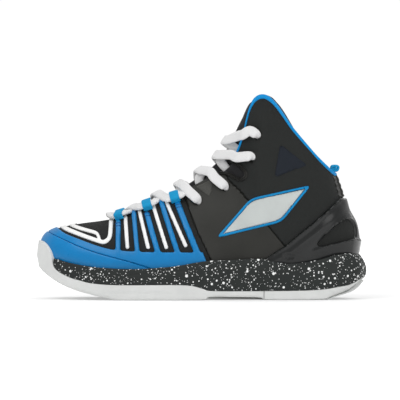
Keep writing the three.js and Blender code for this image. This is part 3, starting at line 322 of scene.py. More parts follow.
def onRail(side, rail, u):
    # Catmull-Rom through a rail's points; the ends go round to the other side's rail.
    own = (np.broadcast_to(side, u.shape) > 0).astype(int)
    i = np.clip(np.floor(u).astype(int), 0, lastStation - 1)
    t = (u - i)[..., None]
    line = rails[:, rail]
    b, c = line[own, i], line[own, i + 1]
    a = np.where((i > 0)[..., None], line[own, np.maximum(i - 1, 0)], line[1 - own, 1])
    d = np.where((i + 2 <= lastStation)[..., None], line[own, np.minimum(i + 2, lastStation)],
                 line[1 - own, lastStation - 1])
    if rail == 3:
        a = np.where((i == throatStation)[..., None], line[1 - own, throatStation + 1], a)
        a = np.where((i == 0)[..., None], 2 * line[own, 0] - line[own, 1], a)
        d = np.where((i == throatStation - 1)[..., None], 2 * c - b, d)
    return catmullRom(a, b, c, d, t)


def outside(side, u, b):
    # Cubic Bezier from the feather edge (b = 0) to the topline (b = 1), between the rails at station u.
    u, b = np.broadcast_arrays(np.asarray(u, float), np.asarray(b, float))
    w = b[..., None]
    a = 1 - w
    return (a ** 3 * onRail(side, 0, u) + 3 * a * a * w * onRail(side, 1, u)
            + 3 * a * w * w * onRail(side, 2, u) + w ** 3 * onRail(side, 3, u))


def sideNormal(side, u, b, step=0.004):
    along = outside(side, np.minimum(u + step, lastStation), b) - outside(side, np.maximum(u - step, 0), b)
    up = outside(side, u, np.minimum(b + step, 1)) - outside(side, u, np.maximum(b - step, 0))
    n = np.cross(along, up) * -np.asarray(np.broadcast_to(side, np.shape(u)), float)[..., None]
    return n / np.maximum(np.linalg.norm(n, axis=-1, keepdims=True), 1e-12)


def normal(side, u, b):
    # Where both sides meet, at the toe, the heel and the ridge, the normal is their mean.
    u, b = np.broadcast_arrays(np.asarray(u, float), np.asarray(b, float))
    n = sideNormal(side, u, b)
    meets = (u < 1e-6) | (u > lastStation - 1e-6) | ((b > 1 - 1e-6) & (u < throatStation + 1e-6))
    n = np.where(meets[..., None], n + sideNormal(-np.asarray(side), u, b), n)
    return n / np.linalg.norm(n, axis=-1, keepdims=True)


def offOutside(side, u, b, offset):
    return outside(side, u, b) + normal(side, u, b) * np.asarray(offset, float)[..., None]


def placeOf(side, x, z):
    # The (u, b) of a place given in side view: nearest point of a grid, then Newton's method.
    x, z = np.atleast_1d(np.asarray(x, float)), np.atleast_1d(np.asarray(z, float))
    gu, gb = np.meshgrid(np.arange(0, lastStation + 0.01, 0.25), np.linspace(0, 1, 21), indexing="ij")
    grid = outside(side, gu.ravel(), gb.ravel())
    best = np.argmin((grid[None, :, 0] - x[:, None]) ** 2 + (grid[None, :, 2] - z[:, None]) ** 2, axis=1)
    u, b = gu.ravel()[best], gb.ravel()[best]
    step = 1e-4
    for _ in range(12):
        p = outside(side, u, b)
        pu = (outside(side, np.minimum(u + step, lastStation), b) - p) / step
        pb = (outside(side, u, np.minimum(b + step, 1)) - p) / step
        det = pu[:, 0] * pb[:, 2] - pb[:, 0] * pu[:, 2]
        det = np.where(np.abs(det) < 1e-9, 1e-9, det)
        dx, dz = x - p[:, 0], z - p[:, 2]
        u = np.clip(u + (dx * pb[:, 2] - pb[:, 0] * dz) / det, 0, lastStation - 2e-4)
        b = np.clip(b + (pu[:, 0] * dz - dx * pu[:, 2]) / det, 0, 1 - 2e-4)
    return u, b


# ---- meshes ----


def meshPiece(name, points, faces, finish, body, replaced=(), uv=None, angle=50):
    # One piece from points in pattern millimetres; uv is one pair for each point, in millimetres.
    # body is a body's name to attach the piece to; a tuple leaves the piece unattached, with its place baked
    # in.
    data = bpy.data.meshes.new(name)
    data.from_pydata((points * grade + shift).tolist(), [], faces.tolist())
    data.update()
    if uv is not None:
        layer = data.uv_layers.new(name="along")
        loops = np.zeros(len(data.loops), int)
        data.loops.foreach_get("vertex_index", loops)
        layer.data.foreach_set("uv", uv[loops].astype(np.float32).ravel())
    data.polygons.foreach_set("use_smooth", np.ones(len(data.polygons), bool))
    data.set_sharp_from_angle(angle=math.radians(angle))
    data.materials.append(finishes[finish])
    thing = bpy.data.objects.new(name, data)
    bpy.context.collection.objects.link(thing)
    if isinstance(body, tuple):
        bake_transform(thing)
    else:
        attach(thing, body)
    if replaced:
        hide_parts(*replaced)
    return thing


def weld(points, faces, others=(), tolerance=1e-3):
    # Merges points that lie together and drops the triangles that this closes up.
    keys = np.round(points / tolerance).astype(np.int64)
    _, first, inverse = np.unique(keys, axis=0, return_index=True, return_inverse=True)
    inverse = inverse.ravel()
    faces = inverse[faces]
    a, b, c = faces.T
    faces = faces[(a != b) & (b != c) & (c != a)]
    return points[first], faces, [o[first] for o in others]


def openEdges(faces):
    # The edges that only one face uses, in that face's direction.
    a = np.concatenate([faces[:, [0, 1]], faces[:, [1, 2]], faces[:, [2, 0]]])
    key = np.sort(a, axis=1)
    _, inverse, counts = np.unique(key, axis=0, return_inverse=True, return_counts=True)
    return a[counts[inverse.ravel()] == 1]


def smoothLine(points, steps=6, closed=False):
    # Catmull-Rom through the points, as many steps on each span.
    p = np.asarray(points, float)
    if closed:
        p = np.concatenate([p[-1:], p, p[:2]])
    else:
        p = np.concatenate([2 * p[:1] - p[1:2], p, 2 * p[-1:] - p[-2:-1]])
    t = (np.arange(steps) / steps)[:, None]
    spans = [catmullRom(a, b, c, d, t) for a, b, c, d in zip(p[:-3], p[1:-2], p[2:-1], p[3:])]
    line = np.concatenate(spans)
    return line if closed else np.concatenate([line, p[-2:-1]])


def rounded(points, radius, steps=5):
    # A closed outline with its corners rounded by quadratic curves that start a radius away from each.
    p = np.asarray(points, float)
    out = []
    for before, corner, after in zip(np.roll(p, 1, 0), p, np.roll(p, -1, 0)):
        a, c = before - corner, after - corner
        la, lc = np.linalg.norm(a), np.linalg.norm(c)
        start = corner + a * min(radius / la, 0.45)
        end = corner + c * min(radius / lc, 0.45)
        for t in np.linspace(0, 1, steps):
            out.append((1 - t) ** 2 * start + 2 * t * (1 - t) * corner + t * t * end)
    return np.array(out)


def toLine(x, z, line, closed=False):
    # Distance from each point to a polyline, and the sign of the side it lies on (left is positive).
    p = np.asarray(line, float)
    q = np.roll(p, -1, 0) if closed else p[1:]
    p = p if closed else p[:-1]
    best = np.full(np.shape(x), np.inf)
    sign = np.ones(np.shape(x))
    for (ax, az), (bx, bz) in zip(p, q):
        dx, dz = bx - ax, bz - az
        t = np.clip(((x - ax) * dx + (z - az) * dz) / max(dx * dx + dz * dz, 1e-12), 0, 1)
        ex, ez = x - ax - t * dx, z - az - t * dz
        d = ex * ex + ez * ez
        near = d < best
        best = np.where(near, d, best)
        sign = np.where(near, np.sign(dx * (z - az) - dz * (x - ax)), sign)
    return np.sqrt(best), sign


def inOutline(points):
    # Signed distance to a closed outline, positive inside, as a function of x and z.
    p = np.asarray(points, float)
    q = np.roll(p, -1, 0)

    def field(x, z):
        distance, _ = toLine(x, z, p, True)
        inside = np.zeros(np.shape(x), bool)
        for (ax, az), (bx, bz) in zip(p, q):
            crosses = (az > z) != (bz > z)
            height = bz - az if bz != az else 1e-12
            inside ^= crosses & (x < (bx - ax) * (z - az) / height + ax)
        return np.where(inside, distance, -distance)
    return field


def onPen(points, width):
    # Positive within a pen stroke of some width along a line.
    return lambda x, z: width / 2 - toLine(x, z, points)[0]


def leftOf(points):
    # Signed distance to an open line, positive on its left.
    def field(x, z):
        distance, sign = toLine(x, z, points)
        return distance * sign
    return field


def rightOf(points):
    field = leftOf(points)
    return lambda x, z: -field(x, z)


def both(*fields):
    # Where all of the fields hold.
    return lambda x, z: np.minimum.reduce([f(x, z) for f in fields])


def either(*fields, soft=0.0):
    # Where any of the fields holds; soft fills the inner corners.
    def field(x, z):
        total = fields[0](x, z)
        for f in fields[1:]:
            other = f(x, z)
            if soft:
                h = np.clip(0.5 + 0.5 * (total - other) / soft, 0, 1)
                total = other + (total - other) * h + soft * h * (1 - h)
            else:
                total = np.maximum(total, other)
        return total
    return field


def without(field, cut):
    return lambda x, z: np.minimum(field(x, z), -cut(x, z))


def trimmedGrid(side, field, uSpan, bSpan, step):
    # A grid of stations and heights on one side, trimmed where field(x, z) turns negative.
    du, db = (uSpan[1] - uSpan[0]), (bSpan[1] - bSpan[0])
    nu = max(int(du * stationGap / step), 8)
    nb = max(int(db * wallHeight / step), 6)
    gu = np.linspace(*uSpan, nu + 1)
    if uSpan[0] < throatStation < uSpan[1]:
        gu[np.argmin(np.abs(gu - throatStation))] = throatStation
    gb = np.linspace(*bSpan, nb + 1)
    u, b = (g.ravel() for g in np.meshgrid(gu, gb, indexing="ij"))
    p = outside(side, u, b)
    f = field(p[:, 0], p[:, 2])
    f = np.where(np.abs(f) < 1e-6, 1e-6, f)
    i = np.arange(nu)[:, None] * (nb + 1) + np.arange(nb)[None, :]
    a, q, c, d = i.ravel(), (i + nb + 1).ravel(), (i + nb + 2).ravel(), (i + 1).ravel()
    flip = ((np.arange(nu)[:, None] + np.arange(nb)[None, :]) % 2).ravel().astype(bool)
    one = np.where(flip[:, None], np.stack([a, q, d], 1), np.stack([a, q, c], 1))
    two = np.where(flip[:, None], np.stack([q, c, d], 1), np.stack([a, c, d], 1))
    triangles = np.concatenate([one, two])
    if side > 0:
        triangles = triangles[:, ::-1]
    inside = f[triangles] > 0
    count = inside.sum(1)
    whole = triangles[count == 3]
    crossed = np.concatenate([triangles[count == 1], triangles[count == 2]])
    edges = np.concatenate([crossed[:, [0, 1]], crossed[:, [1, 2]], crossed[:, [2, 0]]])
    edges = np.sort(edges, axis=1)
    edges = edges[(f[edges[:, 0]] > 0) != (f[edges[:, 1]] > 0)]
    if len(edges) == 0:
        return u, b, whole
    edges = np.unique(edges, axis=0)
    lo, hi = np.zeros(len(edges)), np.ones(len(edges))
    e0, e1 = edges[:, 0], edges[:, 1]
    startSign = np.sign(f[e0])
    for _ in range(9):
        t = (lo + hi) / 2
        mu, mb = u[e0] + (u[e1] - u[e0]) * t, b[e0] + (b[e1] - b[e0]) * t
        mp = outside(side, mu, mb)
        same = np.sign(field(mp[:, 0], mp[:, 2])) == startSign
        lo, hi = np.where(same, t, lo), np.where(same, hi, t)
    t = np.clip((lo + hi) / 2, 0.02, 0.98)
    nu2, nb2 = u[e0] + (u[e1] - u[e0]) * t, b[e0] + (b[e1] - b[e0]) * t
    size = len(u)
    keyed = edges[:, 0].astype(np.int64) * size + edges[:, 1]

    def cut(p0, p1):
        key = np.minimum(p0, p1).astype(np.int64) * size + np.maximum(p0, p1)
        return size + np.searchsorted(keyed, key)
    parts = [whole]
    for wanted in (1, 2):
        some = triangles[count == wanted]
        flag = inside[count == wanted] if wanted == 1 else ~inside[count == wanted]
        lead = np.argmax(flag, axis=1)
        rows = np.arange(len(some))
        v0, v1, v2 = some[rows, lead], some[rows, (lead + 1) % 3], some[rows, (lead + 2) % 3]
        if wanted == 1:
            parts.append(np.stack([v0, cut(v0, v1), cut(v0, v2)], 1))
        else:
            parts.append(np.stack([cut(v0, v1), v1, v2], 1))
            parts.append(np.stack([cut(v0, v1), v2, cut(v0, v2)], 1))
    return np.concatenate([u, nu2]), np.concatenate([b, nb2]), np.concatenate(parts)


def rim(distance, radius):
    # Quarter-round edge: 0 at the outline, 1 from a radius inwards.
    t = np.clip(distance / radius, 0, 1)
    return np.sqrt(np.clip(1 - (1 - t) ** 2, 0, 1))


def uvOf(side, u, b):
    # Millimetres along the shoe and up its wall.
    p = outside(side, u, b)
    return np.stack([p[..., 0], b * wallHeight], -1)


def patch(name, field, finish, replaced, slotName, base=-1.3, thick=1.3, edge=0.8, step=1.1, sides=(-1, 1),
          uSpan=(0, lastStation), bSpan=(0, 1), relief=None):
    # A layer of the upper: its outline trims the grid, its outer face rises over a rounded edge,
    # and relief(points, distance from the outline) adds to that.
    lists = {"side": [], "u": [], "b": []}
    faces, count = [], 0
    for side in sides:
        u, b, triangles = trimmedGrid(side, field, uSpan, bSpan, step)
        used, compact = np.unique(triangles, return_inverse=True)
        faces.append(compact.reshape(triangles.shape) + count)
        count += len(used)
        lists["side"].append(np.full(len(used), side))
        lists["u"].append(u[used])
        lists["b"].append(b[used])
    side, u, b = (np.concatenate(lists[k]) for k in ("side", "u", "b"))
    points = outside(side, u, b)
    points, faces, (side, u, b) = weld(points, np.concatenate(faces), (side, u, b))
    distance = np.maximum(field(points[:, 0], points[:, 2]), 0)
    boundary = openEdges(faces)
    height = thick * rim(distance, edge) if edge else np.full(len(points), float(thick))
    if edge:
        ends = np.unique(boundary)
        free = ends[(b[ends] > 1 - 1e-6) | (b[ends] < 1e-6)]  # along the topline and the feather edge
        height[free] = np.maximum(height[free], thick * 0.6)
    if relief is not None:
        height = height + relief(points, distance)
    n = normal(side, u, b)
    outer = points + n * (base + height)[:, None]
    inner = points + n * base
    total = len(points)
    a, c = boundary[:, 0], boundary[:, 1]
    solid = np.concatenate([faces, faces[:, ::-1] + total, np.stack([c, a, a + total], 1),
                            np.stack([c, a + total, c + total], 1)])
    skin, uv = np.concatenate([outer, inner]), np.tile(uvOf(side, u, b), (2, 1))
    used, compact = np.unique(solid, return_inverse=True)
    solid = compact.reshape(solid.shape)
    return meshPiece(name, skin[used], solid, finish, "shoe", replaced, uv[used])


# ---- side-view patterns, x and z in millimetres ----
pattern = {
    "quarterFront": [(-24, 118), (-19.2, 102.6), (-13.4, 90), (-6.6, 71), (2.4, 51.8), (10.4, 34.2), (20, 5)],
    "quarterBack": [(20, 134), (22.4, 119.2), (24.8, 110.8), (36, 99.5), (53.9, 77.7), (75.3, 51.3),
                    (81.5, 43.4), (100, 5)],
    "notch": [(10, 127), (22, 127.2), (29.4, 125.2), (36.5, 120.2), (39.6, 116.2), (38.6, 113.2),
              (35.4, 111.8), (31.7, 113.6), (26.2, 117.3), (18.7, 118.6), (8, 117)],
    "guard": [(-160, 71), (-142, 62.4), (-121.7, 53.2), (-107, 47.1), (-91, 42), (-76, 38), (-60, 33.6),
              (-46, 28.5), (-38, 24)],
    "cageTop": [(-160, 78), (-134.7, 67.2), (-125.4, 61.4), (-110, 55.4), (-97, 50.8), (-85, 47.4),
                (-74, 45.9), (-60, 44.9), (-36, 44.3), (-6, 44), (10, 44)],
    "cageRear": [(-17.3, 95.2), (-9, 72), (4.9, 36), (12, 20)],
    "rim": [(-160, 38.4), (-138, 38), (-124, 34.5), (-101, 30.8), (-83, 29.4), (-61, 28.8), (-35, 30.3),
            (-20, 31.9), (2, 35.6), (17, 36.6), (54, 38), (65, 35.8), (77, 33.6), (91, 34.2), (109, 37),
            (118, 39.3), (134, 42.3), (160, 42.3)],
    "rubber": [(-160, 54), (-150, 53.2), (-143, 47.5), (-139.5, 41), (-137.5, 33.5), (-133.5, 27.2),
               (-122, 21), (-110, 17.6), (-99, 15.3), (-76, 14), (-16, 14), (2, 10.5), (16, 8.3),
               (98, 8.8), (128, 12), (143, 15.2), (160, 26)],
    "ground": [(-154, 41), (-152, 35), (-150, 30), (-144, 24), (-131, 15.5), (-116, 9.2), (-100, 4.8),
               (-86, 1.8), (-74, 0), (0, 0), (6, 2.4), (50, 2.4), (58, 0.6), (66, 0), (112, 0), (120, 2),
               (136, 6.5), (143, 10), (149, 16), (153.5, 26)],
    "clip": [(57, 37), (63, 40.7), (70.2, 45.6), (77.2, 49.9), (91.3, 61.9), (102, 70.4), (112.6, 79.6),
             (119.6, 85.2), (126.7, 91.6), (132, 93.3), (165, 93.3)],
    "window": [(132, 73.8), (135.6, 71.8), (138, 66.2), (138.4, 57.7), (136.6, 55.5), (126.7, 53.4),
               (109, 49.2), (106.9, 51.3), (112.6, 57.7), (123.1, 67.5)],
    "leaf": [(73.7, 40.7), (79.3, 43.5), (87.8, 39.3), (79.3, 37.1)],
    "badge": [(13.5, 57), (45, 93.5), (102, 106), (74, 71.5)],
    "ankle": [(72.3, 144.1), (99, 123.5), (67, 112)],
    "patch": [(-5.5, 104), (8, 110.5), (10, 108.5), (9.6, 100.5), (7.2, 95.5), (-1.5, 101.4)],
}
seam = {name: smoothLine(pattern[name], 4) for name in
        ("quarterFront", "quarterBack", "guard", "cageTop", "rim", "rubber", "clip")}
eyelets = {"places": [(-3.5, 91.5), (21.5, 104), (46, 131.2), (51, 151.5)], "radius": 3.4}
overlayBase = -1.6  # overlays reach a little into the shell's face
bothSides = (("lateral", -1), ("medial", 1))

# ---- shell: vamp, quarters and collar panels ----


def roundHoles(x, z):
    # Positive inside any lace hole.
    distance = [np.hypot(x - cx, z - cz) for cx, cz in eyelets["places"]]
    return eyelets["radius"] - np.minimum.reduce(distance)


notchInside = inOutline(rounded(pattern["notch"], 2))
shell = {"base": -3.3, "thick": 1.8, "edge": 0.7, "step": 1.25}


def vampRelief(p, distance):
    # Faint flex folds across the forefoot and a soft sink between the ribs.
    fold = np.sin(p[:, 0] * 0.33 + p[:, 2] * 0.12) * np.sin(p[:, 2] * 0.21 + 1)
    return 0.12 * fold * rim(distance, 4)


def quarterRelief(p, distance):
    # Pressed panel line from the badge down to the heel, and a soft pad.
    line, _ = toLine(p[:, 0], p[:, 2], [(58, 81), (75, 53)])
    soft = np.sin(p[:, 0] * 0.11 + 0.4) * np.sin(p[:, 2] * 0.09)
    return (-0.3 * np.exp(-(line / 0.7) ** 2) + 0.25 * soft) * rim(distance, 5)


def collarRelief(p, distance):
    # Soft upright ridge ahead of the ankle, sunk panel edge round the badge, pressed arc at the front peak.
    x, z = p[:, 0], p[:, 2]
    ends = np.clip((z - 104) / 12, 0, 1) * np.clip((178 - z) / 12, 0, 1)
    ridge = 1.1 * np.exp(-((x - 54 - 0.03 * (z - 140)) / 5) ** 2) * ends
    arc, _ = toLine(x, z, [(49, 178), (55, 181), (61, 178), (68, 167)])
    edge, _ = toLine(x, z, [(64, 76), (76, 67), (95, 75), (107, 101)])
    padded = 1.5 * np.exp(-((x - 84) / 22) ** 2 - ((z - 128) / 22) ** 2)
    pressed = 0.35 * np.exp(-(arc / 0.8) ** 2) + 0.3 * np.exp(-(edge / 0.8) ** 2)
    return (ridge + padded - pressed) * rim(distance, 4)


vampField = rightOf(seam["quarterFront"])
openings = either(roundHoles, notchInside)
quarterField = without(both(leftOf(seam["quarterFront"]), rightOf(seam["quarterBack"])), openings)
collarField = without(leftOf(seam["quarterBack"]), openings)
patch("vampCover", vampField, "vamp", ["vamp"], "mesh_black", uSpan=(0, 9.5), relief=vampRelief, **shell)
for name, side in bothSides:
    patch(name + "QuarterCover", quarterField, "quarter", [name + "_quarter"], "synthetic_grey",
          sides=(side,), uSpan=(5, 15), relief=quarterRelief, **shell)
    patch(name + "CollarCover", collarField, "collar", [name + "_collar_panel"], "collar_fabric",
          sides=(side,), uSpan=(7.5, 17), relief=collarRelief, **shell)
print("shell made")

# ---- forefoot: toe guard, cage with ribs, white bars, stripes over the toes ----
guard = {"thick": 1.75, "edge": 0.6, "step": 0.9}
patch("toeGuardSkin", rightOf(seam["guard"]), "guard", ["toe_guard"], "guard_blue", base=overlayBase,
      uSpan=(0, 8.5), **guard)

cage = {"thick": 1.6, "edge": 0.8, "step": 0.75, "fillet": 2.2}
ribs = [  # top x, z, foot x, z, width
    (-76.6, 72, -76.6, 43, 4.6), (-63.4, 88, -58.3, 42, 4.3), (-50, 79, -39, 42, 5),
    (-38.2, 94, -20.8, 42, 4.8), (-21.6, 88.5, -1, 38, 5.6),
]
band = both(leftOf(seam["guard"]), rightOf(seam["cageTop"]))
ribFields = [onPen([(x0, z0), (x1, z1)], w) for x0, z0, x1, z1, w in ribs]
cageField = both(either(band, *ribFields, soft=cage["fillet"]), rightOf(pattern["cageRear"]))


def cageRelief(p, distance):
    # Each rib is crowned along its middle, and the band swells below them.
    crown = [np.clip(f(p[:, 0], p[:, 2]) / 2.4, 0, 1) for f in ribFields]
    return 0.35 * np.maximum.reduce(crown) ** 0.5 * np.clip((p[:, 2] - 38) / 8, 0, 1)


patch("ribCageSkin", cageField, "cage", ["rib_cage"], "film_blue", base=overlayBase, thick=cage["thick"],
      edge=cage["edge"], step=cage["step"], uSpan=(0, 9), relief=cageRelief)

bars = {"lines": [(-70.2, 76.5, -67.8, 47.6), (-57.7, 84, -48.8, 47.4), (-44.4, 87, -32, 47.4),
                  (-32, 90, -14.2, 49)],
        "width": 3.5, "thick": 1.15, "edge": 0.6, "step": 0.55}
for name, side in bothSides:
    for k, (x0, z0, x1, z1) in enumerate(bars["lines"]):
        field = onPen([(x0, z0), (x1, z1 + bars["width"] / 2)], bars["width"])
        patch(f"whiteBar_{name}_{k + 1}", field, "white", [f"white_bar_{name}_{k + 1}"], "print_white",
              base=overlayBase, thick=bars["thick"], edge=bars["edge"], step=bars["step"], sides=(side,),
              uSpan=(3.5 + k * 0.5, 8.5))

stripe = {"outer": [(-83.2, 80), (-83.6, 64), (-84.8, 57.8), (-88, 54.6), (-92, 54.2), (-102.8, 57.7),
                    (-114.3, 61.9), (-124.5, 66), (-136, 72)],
          "inner": [(-130, 74.5), (-116.7, 68.2), (-106.7, 65.2), (-98, 62.8), (-95.2, 60.6), (-93.2, 55)],
          "outerWidth": 3.7, "innerWidth": 2.9}
stripeField = either(onPen(smoothLine(stripe["outer"], 5), stripe["outerWidth"]),
                     onPen(smoothLine(stripe["inner"], 4), stripe["innerWidth"]), soft=0.8)
patch("toeStripeSkin", stripeField, "white", ["toe_stripe"], "print_white", base=overlayBase, thick=1.15,
      edge=0.6, step=0.6, uSpan=(0, 6))
print("forefoot made")

# ---- side: badge, ankle mesh, eyestay patch, notch trim ----
sideWork = {"badgeRound": 7, "border": 2.3, "trimWidth": 3.4, "trimPitch": 1.7}
badgeOutline = rounded(pattern["badge"], sideWork["badgeRound"], 7)
badgeInside = inOutline(badgeOutline)


def trimRelief(p, distance):
    # Two raised beads that run round the notch.
    away = -notchInside(p[:, 0], p[:, 2])
    return 0.45 * np.cos(2 * math.pi * away / sideWork["trimPitch"] + math.pi) * rim(distance, 0.8)


def badgeRelief(p, distance):
    # A fine line pressed in along the border.
    return -0.28 * np.exp(-((distance - 2.2) / 0.5) ** 2)


def inset(field, distance):
    return lambda x, z: field(x, z) - distance


def outset(field, distance):
    return lambda x, z: field(x, z) + distance


for name, side in bothSides:
    patch("badgePanel_" + name, inset(badgeInside, sideWork["border"] + 0.1), "badge", ["side_badge_" + name],
          "badge_silver", base=overlayBase, thick=0.95, edge=0.5, step=0.9, sides=(side,), uSpan=(7, 16),
          relief=badgeRelief)
    patch("badgeEdge_" + name, without(badgeInside, inset(badgeInside, sideWork["border"])), "badgeEdge",
          ["badge_border_" + name], "badge_blue", base=overlayBase, thick=1.3, edge=0.7, step=0.55,
          sides=(side,), uSpan=(7, 16))
    patch("anklePanel_" + name, inOutline(rounded(pattern["ankle"], 5)), "ankle", ["ankle_mesh_" + name],
          "mesh_open", base=overlayBase, thick=1.9, edge=1.2, step=1.0, sides=(side,), uSpan=(11, 16))
    patch("eyestayPanel_" + name, inOutline(rounded(pattern["patch"], 1.5)), "patch",
          ["eyestay_patch_" + name], "mesh_open", base=overlayBase, thick=0.8, edge=0.5, step=0.7,
          sides=(side,), uSpan=(6.5, 9.5))
    trimField = without(outset(notchInside, sideWork["trimWidth"]), notchInside)
    patch("notchTrimBead_" + name, trimField, "trim", ["notch_trim_" + name], "trim_black", base=overlayBase,
          thick=1.3, edge=0.5, step=0.5, sides=(side,), uSpan=(8, 11), relief=trimRelief)
print("side pieces made")

# ---- heel: clip with its window, bumpy strip ----
heel = {"thick": 2.4, "edge": 1.5, "step": 0.8, "crest": [(104, 45.6), (118, 49.8), (134, 55.6), (148, 52)],
        "below": 6, "stripHalf": 6.5, "bumpPitch": 5.4}
windowInside = inOutline(rounded(pattern["window"], 3))
leafInside = inOutline(rounded(pattern["leaf"], 1.2))
rimBelow = [(x, z - heel["below"]) for x, z in pattern["rim"]]


def heelCup(x, z):
    # The heel swells backwards between the sole and the top of the clip.
    return 4.2 * np.clip((x - 112) / 24, 0, 1) ** 1.5 * np.exp(-((z - 58) / 20) ** 4)


def windowRelief(p, distance):
    # The mesh follows the clip's swell.
    return heelCup(p[:, 0], p[:, 2])


def clipRelief(p, distance):
    # A crest under the window, a hollow above the sole, a lip round the window and a sunk leaf.
    x, z = p[:, 0], p[:, 2]
    away, sign = toLine(x, z, heel["crest"])
    crest = 1.2 * np.exp(-(away / np.where(sign > 0, 1.1, 4.0)) ** 2)
    ribs = 0.8 * np.exp(-((toLine(x, z, [(57, 35), (80, 47.5), (104, 66), (128, 88)])[0] - 4.5) / 3.6) ** 2)
    lip = 0.4 * np.exp(-((-windowInside(x, z) - 1) / 0.8) ** 2)
    leaf = -0.8 * np.clip(leafInside(x, z) / 0.6, 0, 1)
    fade = np.clip((x - 100) / 12, 0, 1)
    return (crest * fade + ribs + lip + leaf) * rim(distance, 1.2) + heelCup(x, z)


def stripRelief(p, distance):
    # A row of bumps up the heel that falls away at both sides.
    fall = -1.2 * (1 - rim(np.maximum(heel["stripHalf"] - np.abs(p[:, 1]), 0), 1))
    return fall + 0.7 * np.abs(np.sin(math.pi * p[:, 2] / heel["bumpPitch"])) ** 0.7


clipField = without(both(rightOf(seam["clip"]), leftOf(rimBelow)), windowInside)
patch("heelClipShell", clipField, "clip", ["heel_clip"], "clip_black", base=overlayBase, thick=heel["thick"],
      edge=heel["edge"], step=heel["step"], uSpan=(9.5, 17), relief=clipRelief)
for name, side in bothSides:
    patch("clipWindowMesh_" + name, outset(windowInside, 0.6), "window", ["clip_window_" + name],
          "mesh_black", base=overlayBase, thick=0.7, edge=0, step=0.8, sides=(side,), uSpan=(12, 17),
          relief=windowRelief)
stripField = both(lambda x, z: z - 94.5, lambda x, z: 114.5 - z)
patch("heelStripBumps", stripField, "trim", ["heel_strip"], "mesh_black", base=overlayBase, thick=1.2,
      edge=0.8, step=0.5, uSpan=(16.3, 17), bSpan=(0.6, 1), relief=stripRelief)
print("heel made")

# ---- soles: profiles carried round the ring of feather edge, wall and plan ----
plan = smoothLine([
    (153, 0), (151, -13), (143, -28), (125, -39), (100, -43), (70, -43), (35, -46), (0, -51), (-35, -56),
    (-65, -55), (-95, -49), (-120, -40), (-140, -25), (-150, -8), (-153, 6), (-151, 20), (-142, 34),
    (-125, 44), (-100, 51), (-70, 54), (-40, 51), (-5, 43), (30, 38), (65, 38), (100, 41), (125, 38),
    (143, 27), (151, 13),
], 8, closed=True)
sole = {"columnsPerStation": 14, "edgeRadius": 2.6, "split": 57.5, "tread": 1.3, "treadPitch": 5.2}


def ring():
    # The closed ring of columns: lateral side from toe to heel, then medial side back to the toe.
    u = np.linspace(0, lastStation, sole["columnsPerStation"] * lastStation + 1)
    side = np.concatenate([np.full(len(u), -1), np.full(len(u) - 2, 1)])
    return side, np.concatenate([u, u[-2:0:-1]])


ringSide, ringU = ring()
feather = outside(ringSide, ringU, np.zeros(len(ringU)))
outward = normal(ringSide, ringU, np.zeros(len(ringU)))
outward[:, 2] = 0
for _ in range(3):
    outward = (np.roll(outward, 1, 0) + outward + np.roll(outward, -1, 0))
outward /= np.linalg.norm(outward, axis=1, keepdims=True)


def planReach(start, direction):
    # How far a ray in plan goes from a point inside the plan to its outline.
    p, q = plan, np.roll(plan, -1, 0)
    e = q - p
    dx, dy = direction[:, None, 0], direction[:, None, 1]
    rx, ry = p[None, :, 0] - start[:, None, 0], p[None, :, 1] - start[:, None, 1]
    det = dx * -e[None, :, 1] + e[None, :, 0] * dy
    det = np.where(np.abs(det) < 1e-9, 1e-9, det)
    t = (rx * -e[None, :, 1] + e[None, :, 0] * ry) / det
    s = (dx * ry - dy * rx) / det
    good = (s >= -1e-6) & (s <= 1 + 1e-6) & (t > 0)
    return np.where(good, t, np.inf).min(1)


reach = planReach(feather[:, :2], outward[:, :2])
planPoint = feather[:, :2] + outward[:, :2] * reach[:, None]
middleX = np.clip(planPoint[:, 0], -105, 105)
middle = np.stack([middleX, np.interp(middleX, stations[:, 0], stations[:, 7])], 1)


def lineZ(name, x):
    # Height of a side-view line at x; the line is a function of x there.
    line = np.array(pattern[name])
    order = np.argsort(line[:, 0], kind="stable")
    fine = smoothLine(line[order], 4)
    keep = np.concatenate([[True], np.diff(np.maximum.accumulate(fine[:, 0])) > 1e-6])
    return np.interp(x, fine[keep, 0], fine[keep, 1])


def surfaceGap(z):
    # Per column, how far outside the feather edge the upper's face stands at height z.
    b = np.full(len(ringU), 0.08)
    for _ in range(8):
        p = outside(ringSide, ringU, b)
        slope = (outside(ringSide, ringU, b + 1e-3) - p)[:, 2] / 1e-3
        b = np.clip(b + (z - p[:, 2]) / np.maximum(slope, 5), 0, 0.6)
    p = outside(ringSide, ringU, b) - feather
    return (p[:, :2] * outward[:, :2]).sum(1)


heelward = np.clip(outward[:, 0], 0, 1) ** 2


def wallInset(z):
    # How far the side wall stands in from the plan at each height: a soft belly, more at the heel and toe.
    belly = 1.2 * ((z - 20) / 22) ** 2
    back = np.clip(26 - z, 0, 30) ** 2 / 22 + np.clip(z - 26, 0, 30) ** 2 / 36
    return np.clip(belly, 0, 3.2) * (1 - heelward) + back * heelward


def loft(rows):
    # Joins rings of points (row, column, xyz) into a closed skin; first and last rows shrink to a line.
    rows = np.asarray(rows)
    n, m = rows.shape[:2]
    i = np.arange(n - 1)[:, None] * m + np.arange(m)[None, :]
    j = np.arange(n - 1)[:, None] * m + (np.arange(m)[None, :] + 1) % m
    quads = np.stack([i.ravel(), j.ravel(), (j + m).ravel(), (i + m).ravel()], 1)
    triangles = np.concatenate([quads[:, [0, 1, 2]], quads[:, [0, 2, 3]]])
    points, triangles, _ = weld(rows.reshape(-1, 3), triangles, tolerance=1e-2)
    return points, triangles


def inwardRing(share, z):
    # A ring between the wall (share 0) and the middle line (share 1) at the height z.
    xy = planPoint * (1 - share) + middle * share
    return np.concatenate([xy, np.broadcast_to(z, len(xy))[:, None]], 1)


